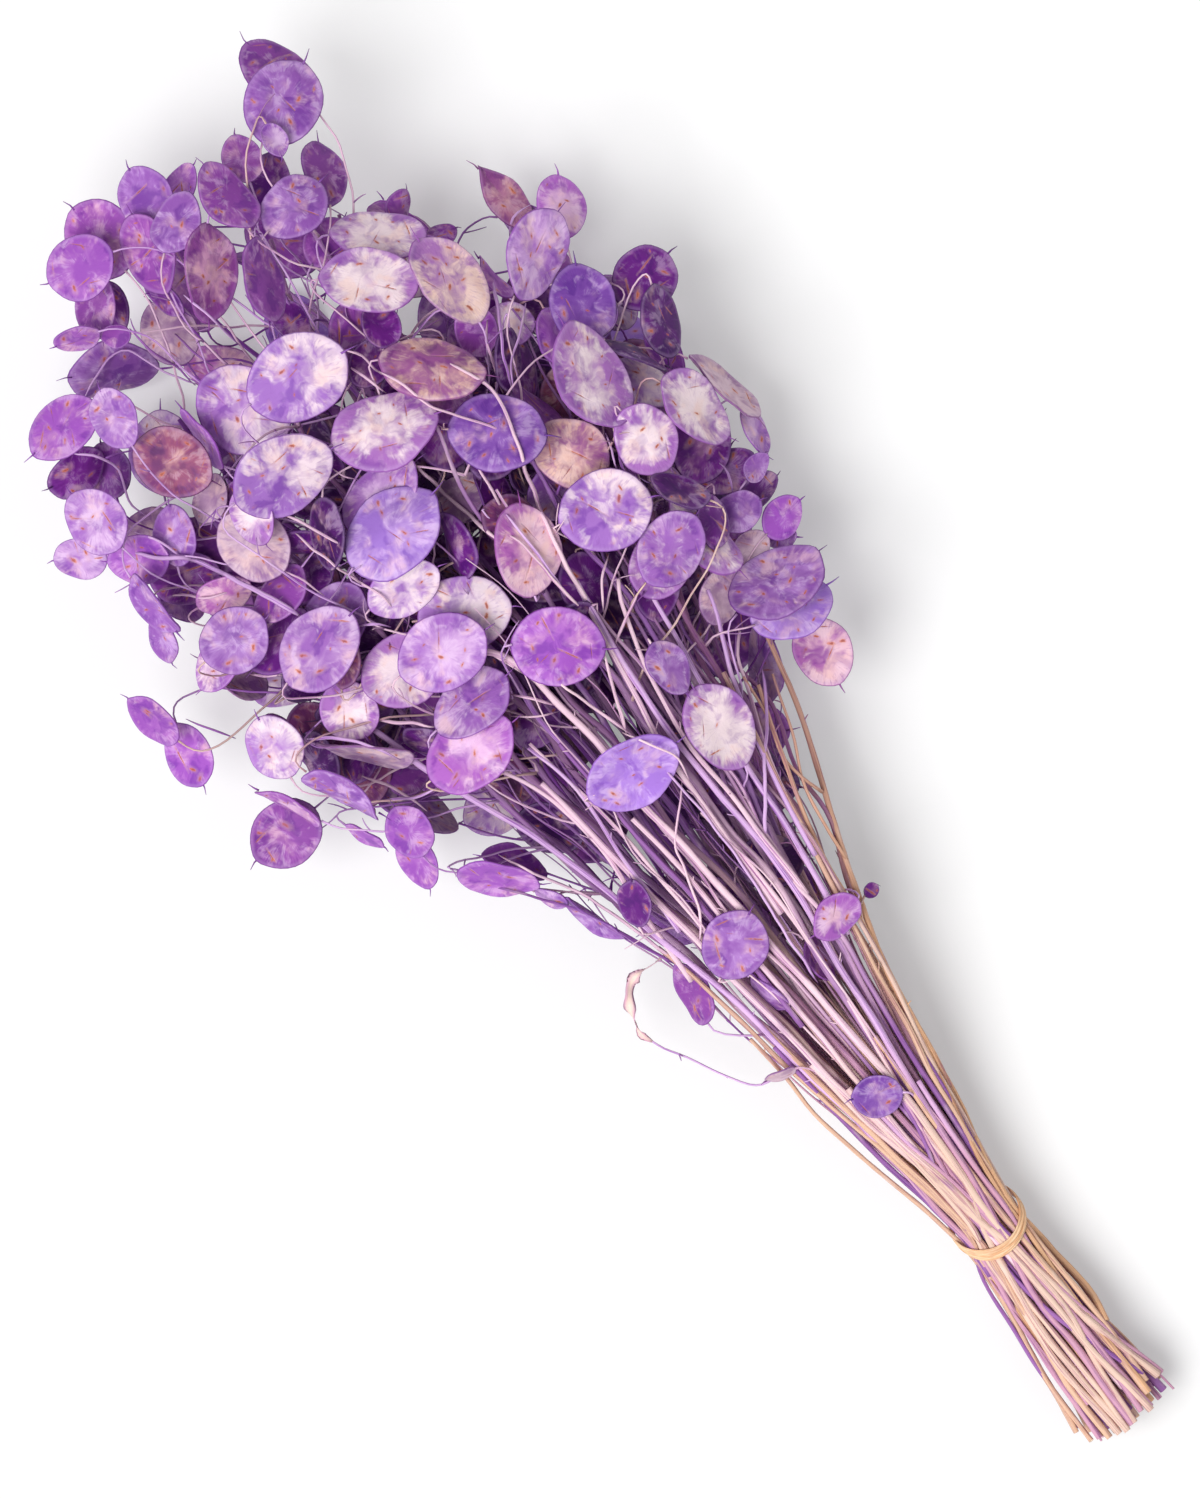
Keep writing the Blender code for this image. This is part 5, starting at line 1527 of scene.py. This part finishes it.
def tie_skin():
    """The strip, closed round the stems, with ridges along it where it folded."""
    reach = 0.0
    for stem in stems:
        y = TIE_MIDDLE - TIE_SLANT * stem.z0
        offset = stem.point(y) - Vector((0.0, y, axis_height(y)))
        reach = max(reach, math.hypot(offset.x / BUNDLE_HALF_WIDTH, offset.z / BUNDLE_HALF_HEIGHT))
    inner_x = BUNDLE_HALF_WIDTH * reach + max(STEM_RADII) + TIE_GAP
    inner_z = BUNDLE_HALF_HEIGHT * reach + max(STEM_RADII) + TIE_GAP
    skin = Skin()
    rings = []
    for step in range(TIE_ROUND):
        angle = math.tau * step / TIE_ROUND
        ring = []
        for k in range(TIE_PROFILE + 1):
            part = k / TIE_PROFILE
            fold = 0.5 + 0.5 * math.cos(part * math.tau * 3.0 + 0.9 * math.sin(angle * 2 + 0.7))
            out = TIE_THICKNESS * (0.30 + 0.70 * fold * math.sin(math.pi * part) ** 0.3)
            ring.append((out, part - 0.5))
        ring += [(-0.05, 0.46), (-0.05, 0.0), (-0.05, -0.46)]
        corners = []
        for out, part in ring:
            x = (inner_x + TIE_SLACK + out) * math.cos(angle)
            z = (inner_z + TIE_SLACK + out) * math.sin(angle)
            width = TIE_WIDTH * (1.25 + 0.12 * math.sin(angle * 3 + 1.0))
            y = TIE_MIDDLE - TIE_SLANT * z + part * width
            corners.append(skin.add(
                Vector((x, y, axis_height(y) + z)),
                grain=(part * 9.0, 1.2 * math.cos(angle), 1.2 * math.sin(angle)),
                spot=(3 * math.cos(angle), 3 * math.sin(angle), part)))
        rings.append(corners)
    for near, far in zip(rings, rings[1:] + rings[:1]):
        skin.close(near, far)
    return skin


tie_skin().piece("straw_band", tie_finish(), "straw_tie", "straw")

# ---------------------------------------------------------------------------------------------
# The surface under the bunch, plain and near white, and the soft even light of a pale room: a
# wide lamp high on the left, and the room's own light.
FLOOR_HALF_SIDE = 30.0
FLOOR_COLOUR = (0.88, 0.88, 0.88, 1.0)
WHITE = (1.0, 1.0, 1.0, 1.0)
FLOOR_WHITENESS = 0.28
ROOM_LIGHT = 0.44
ROOM_SEEN = 1.0
floor_mesh = bpy.data.meshes.new("floor")
floor_mesh.from_pydata([(x * FLOOR_HALF_SIDE, y * FLOOR_HALF_SIDE, 0.0)
                        for x, y in ((-1, -1), (1, -1), (1, 1), (-1, 1))], [], [(0, 1, 2, 3)])
floor = bpy.data.objects.new("floor", floor_mesh)
bpy.context.scene.collection.objects.link(floor)


def seen_ray(finish):
    """One for a ray from the camera, from a gloss or through something clear, else nought."""
    rays = [finish.add("LightPath", {}, {}, name)
            for name in ("Is Camera Ray", "Is Glossy Ray", "Is Transmission Ray")]
    either = finish.add("Math", {"operation": "MAXIMUM"}, {0: rays[0], 1: rays[1]})
    return finish.add("Math", {"operation": "MAXIMUM"}, {0: either, 1: rays[2]})


pale = Finish("pale_floor")
pale_shader = pale.add("BsdfPrincipled", {}, {"Base Color": FLOOR_COLOUR, "Roughness": 0.9,
                                              "Specular IOR Level": 0.1})
pale_light = pale.add("Emission", {}, {"Color": WHITE, "Strength": 1.0})
pale_mix = pale.add("MixShader", {}, {0: seen_ray(pale) * FLOOR_WHITENESS, 1: pale_shader,
                                      2: pale_light})
pale.add("OutputMaterial", {}, {"Surface": pale_mix})
floor_mesh.materials.append(pale.material)

LAMP_DIRECTION = (-0.49, 0.02, 1.0)
LAMP_WIDTH = 36.0
LAMP_LIGHT = 2.74
light = bpy.data.lights.new("side_lamp", "SUN")
light.angle = math.radians(LAMP_WIDTH)
light.energy = LAMP_LIGHT
lamp = bpy.data.objects.new("side_lamp", light)
lamp.rotation_mode = "QUATERNION"
lamp.rotation_quaternion = Vector(LAMP_DIRECTION).to_track_quat("Z", "Y")
lamp.location = Vector(LAMP_DIRECTION)
bpy.context.scene.collection.objects.link(lamp)
bpy.context.scene.world = bpy.data.worlds.new("room")
room = Finish("room", bpy.context.scene.world)
level = seen_ray(room) * (ROOM_SEEN - ROOM_LIGHT) + ROOM_LIGHT
air = room.add("Background", {}, {"Color": WHITE, "Strength": level})
room.add("OutputWorld", {}, {"Surface": air})

# ---------------------------------------------------------------------------------------------
# The camera looks straight down, turned so that the head points to the upper left. It stands
# eight metres up with a long lens, so high and low pods show at nearly the same scale.
CAMERA_PLACE = (-10.0, 242.83)
CAMERA_HEIGHT = 8.0
CAMERA_TURN = 37.0
CAMERA_LENS = 492.5
camera_data = bpy.data.cameras.new("camera")
camera_data.lens = CAMERA_LENS
camera_data.sensor_width = 36.0
camera = bpy.data.objects.new("camera", camera_data)
camera.location = (CAMERA_PLACE[0] * MM + to_row.x, CAMERA_PLACE[1] * MM + to_row.y, CAMERA_HEIGHT)
camera.rotation_euler = (0.0, 0.0, -math.radians(CAMERA_TURN))
bpy.context.scene.collection.objects.link(camera)
bpy.context.scene.camera = camera
bpy.context.scene.view_settings.view_transform = "Standard"
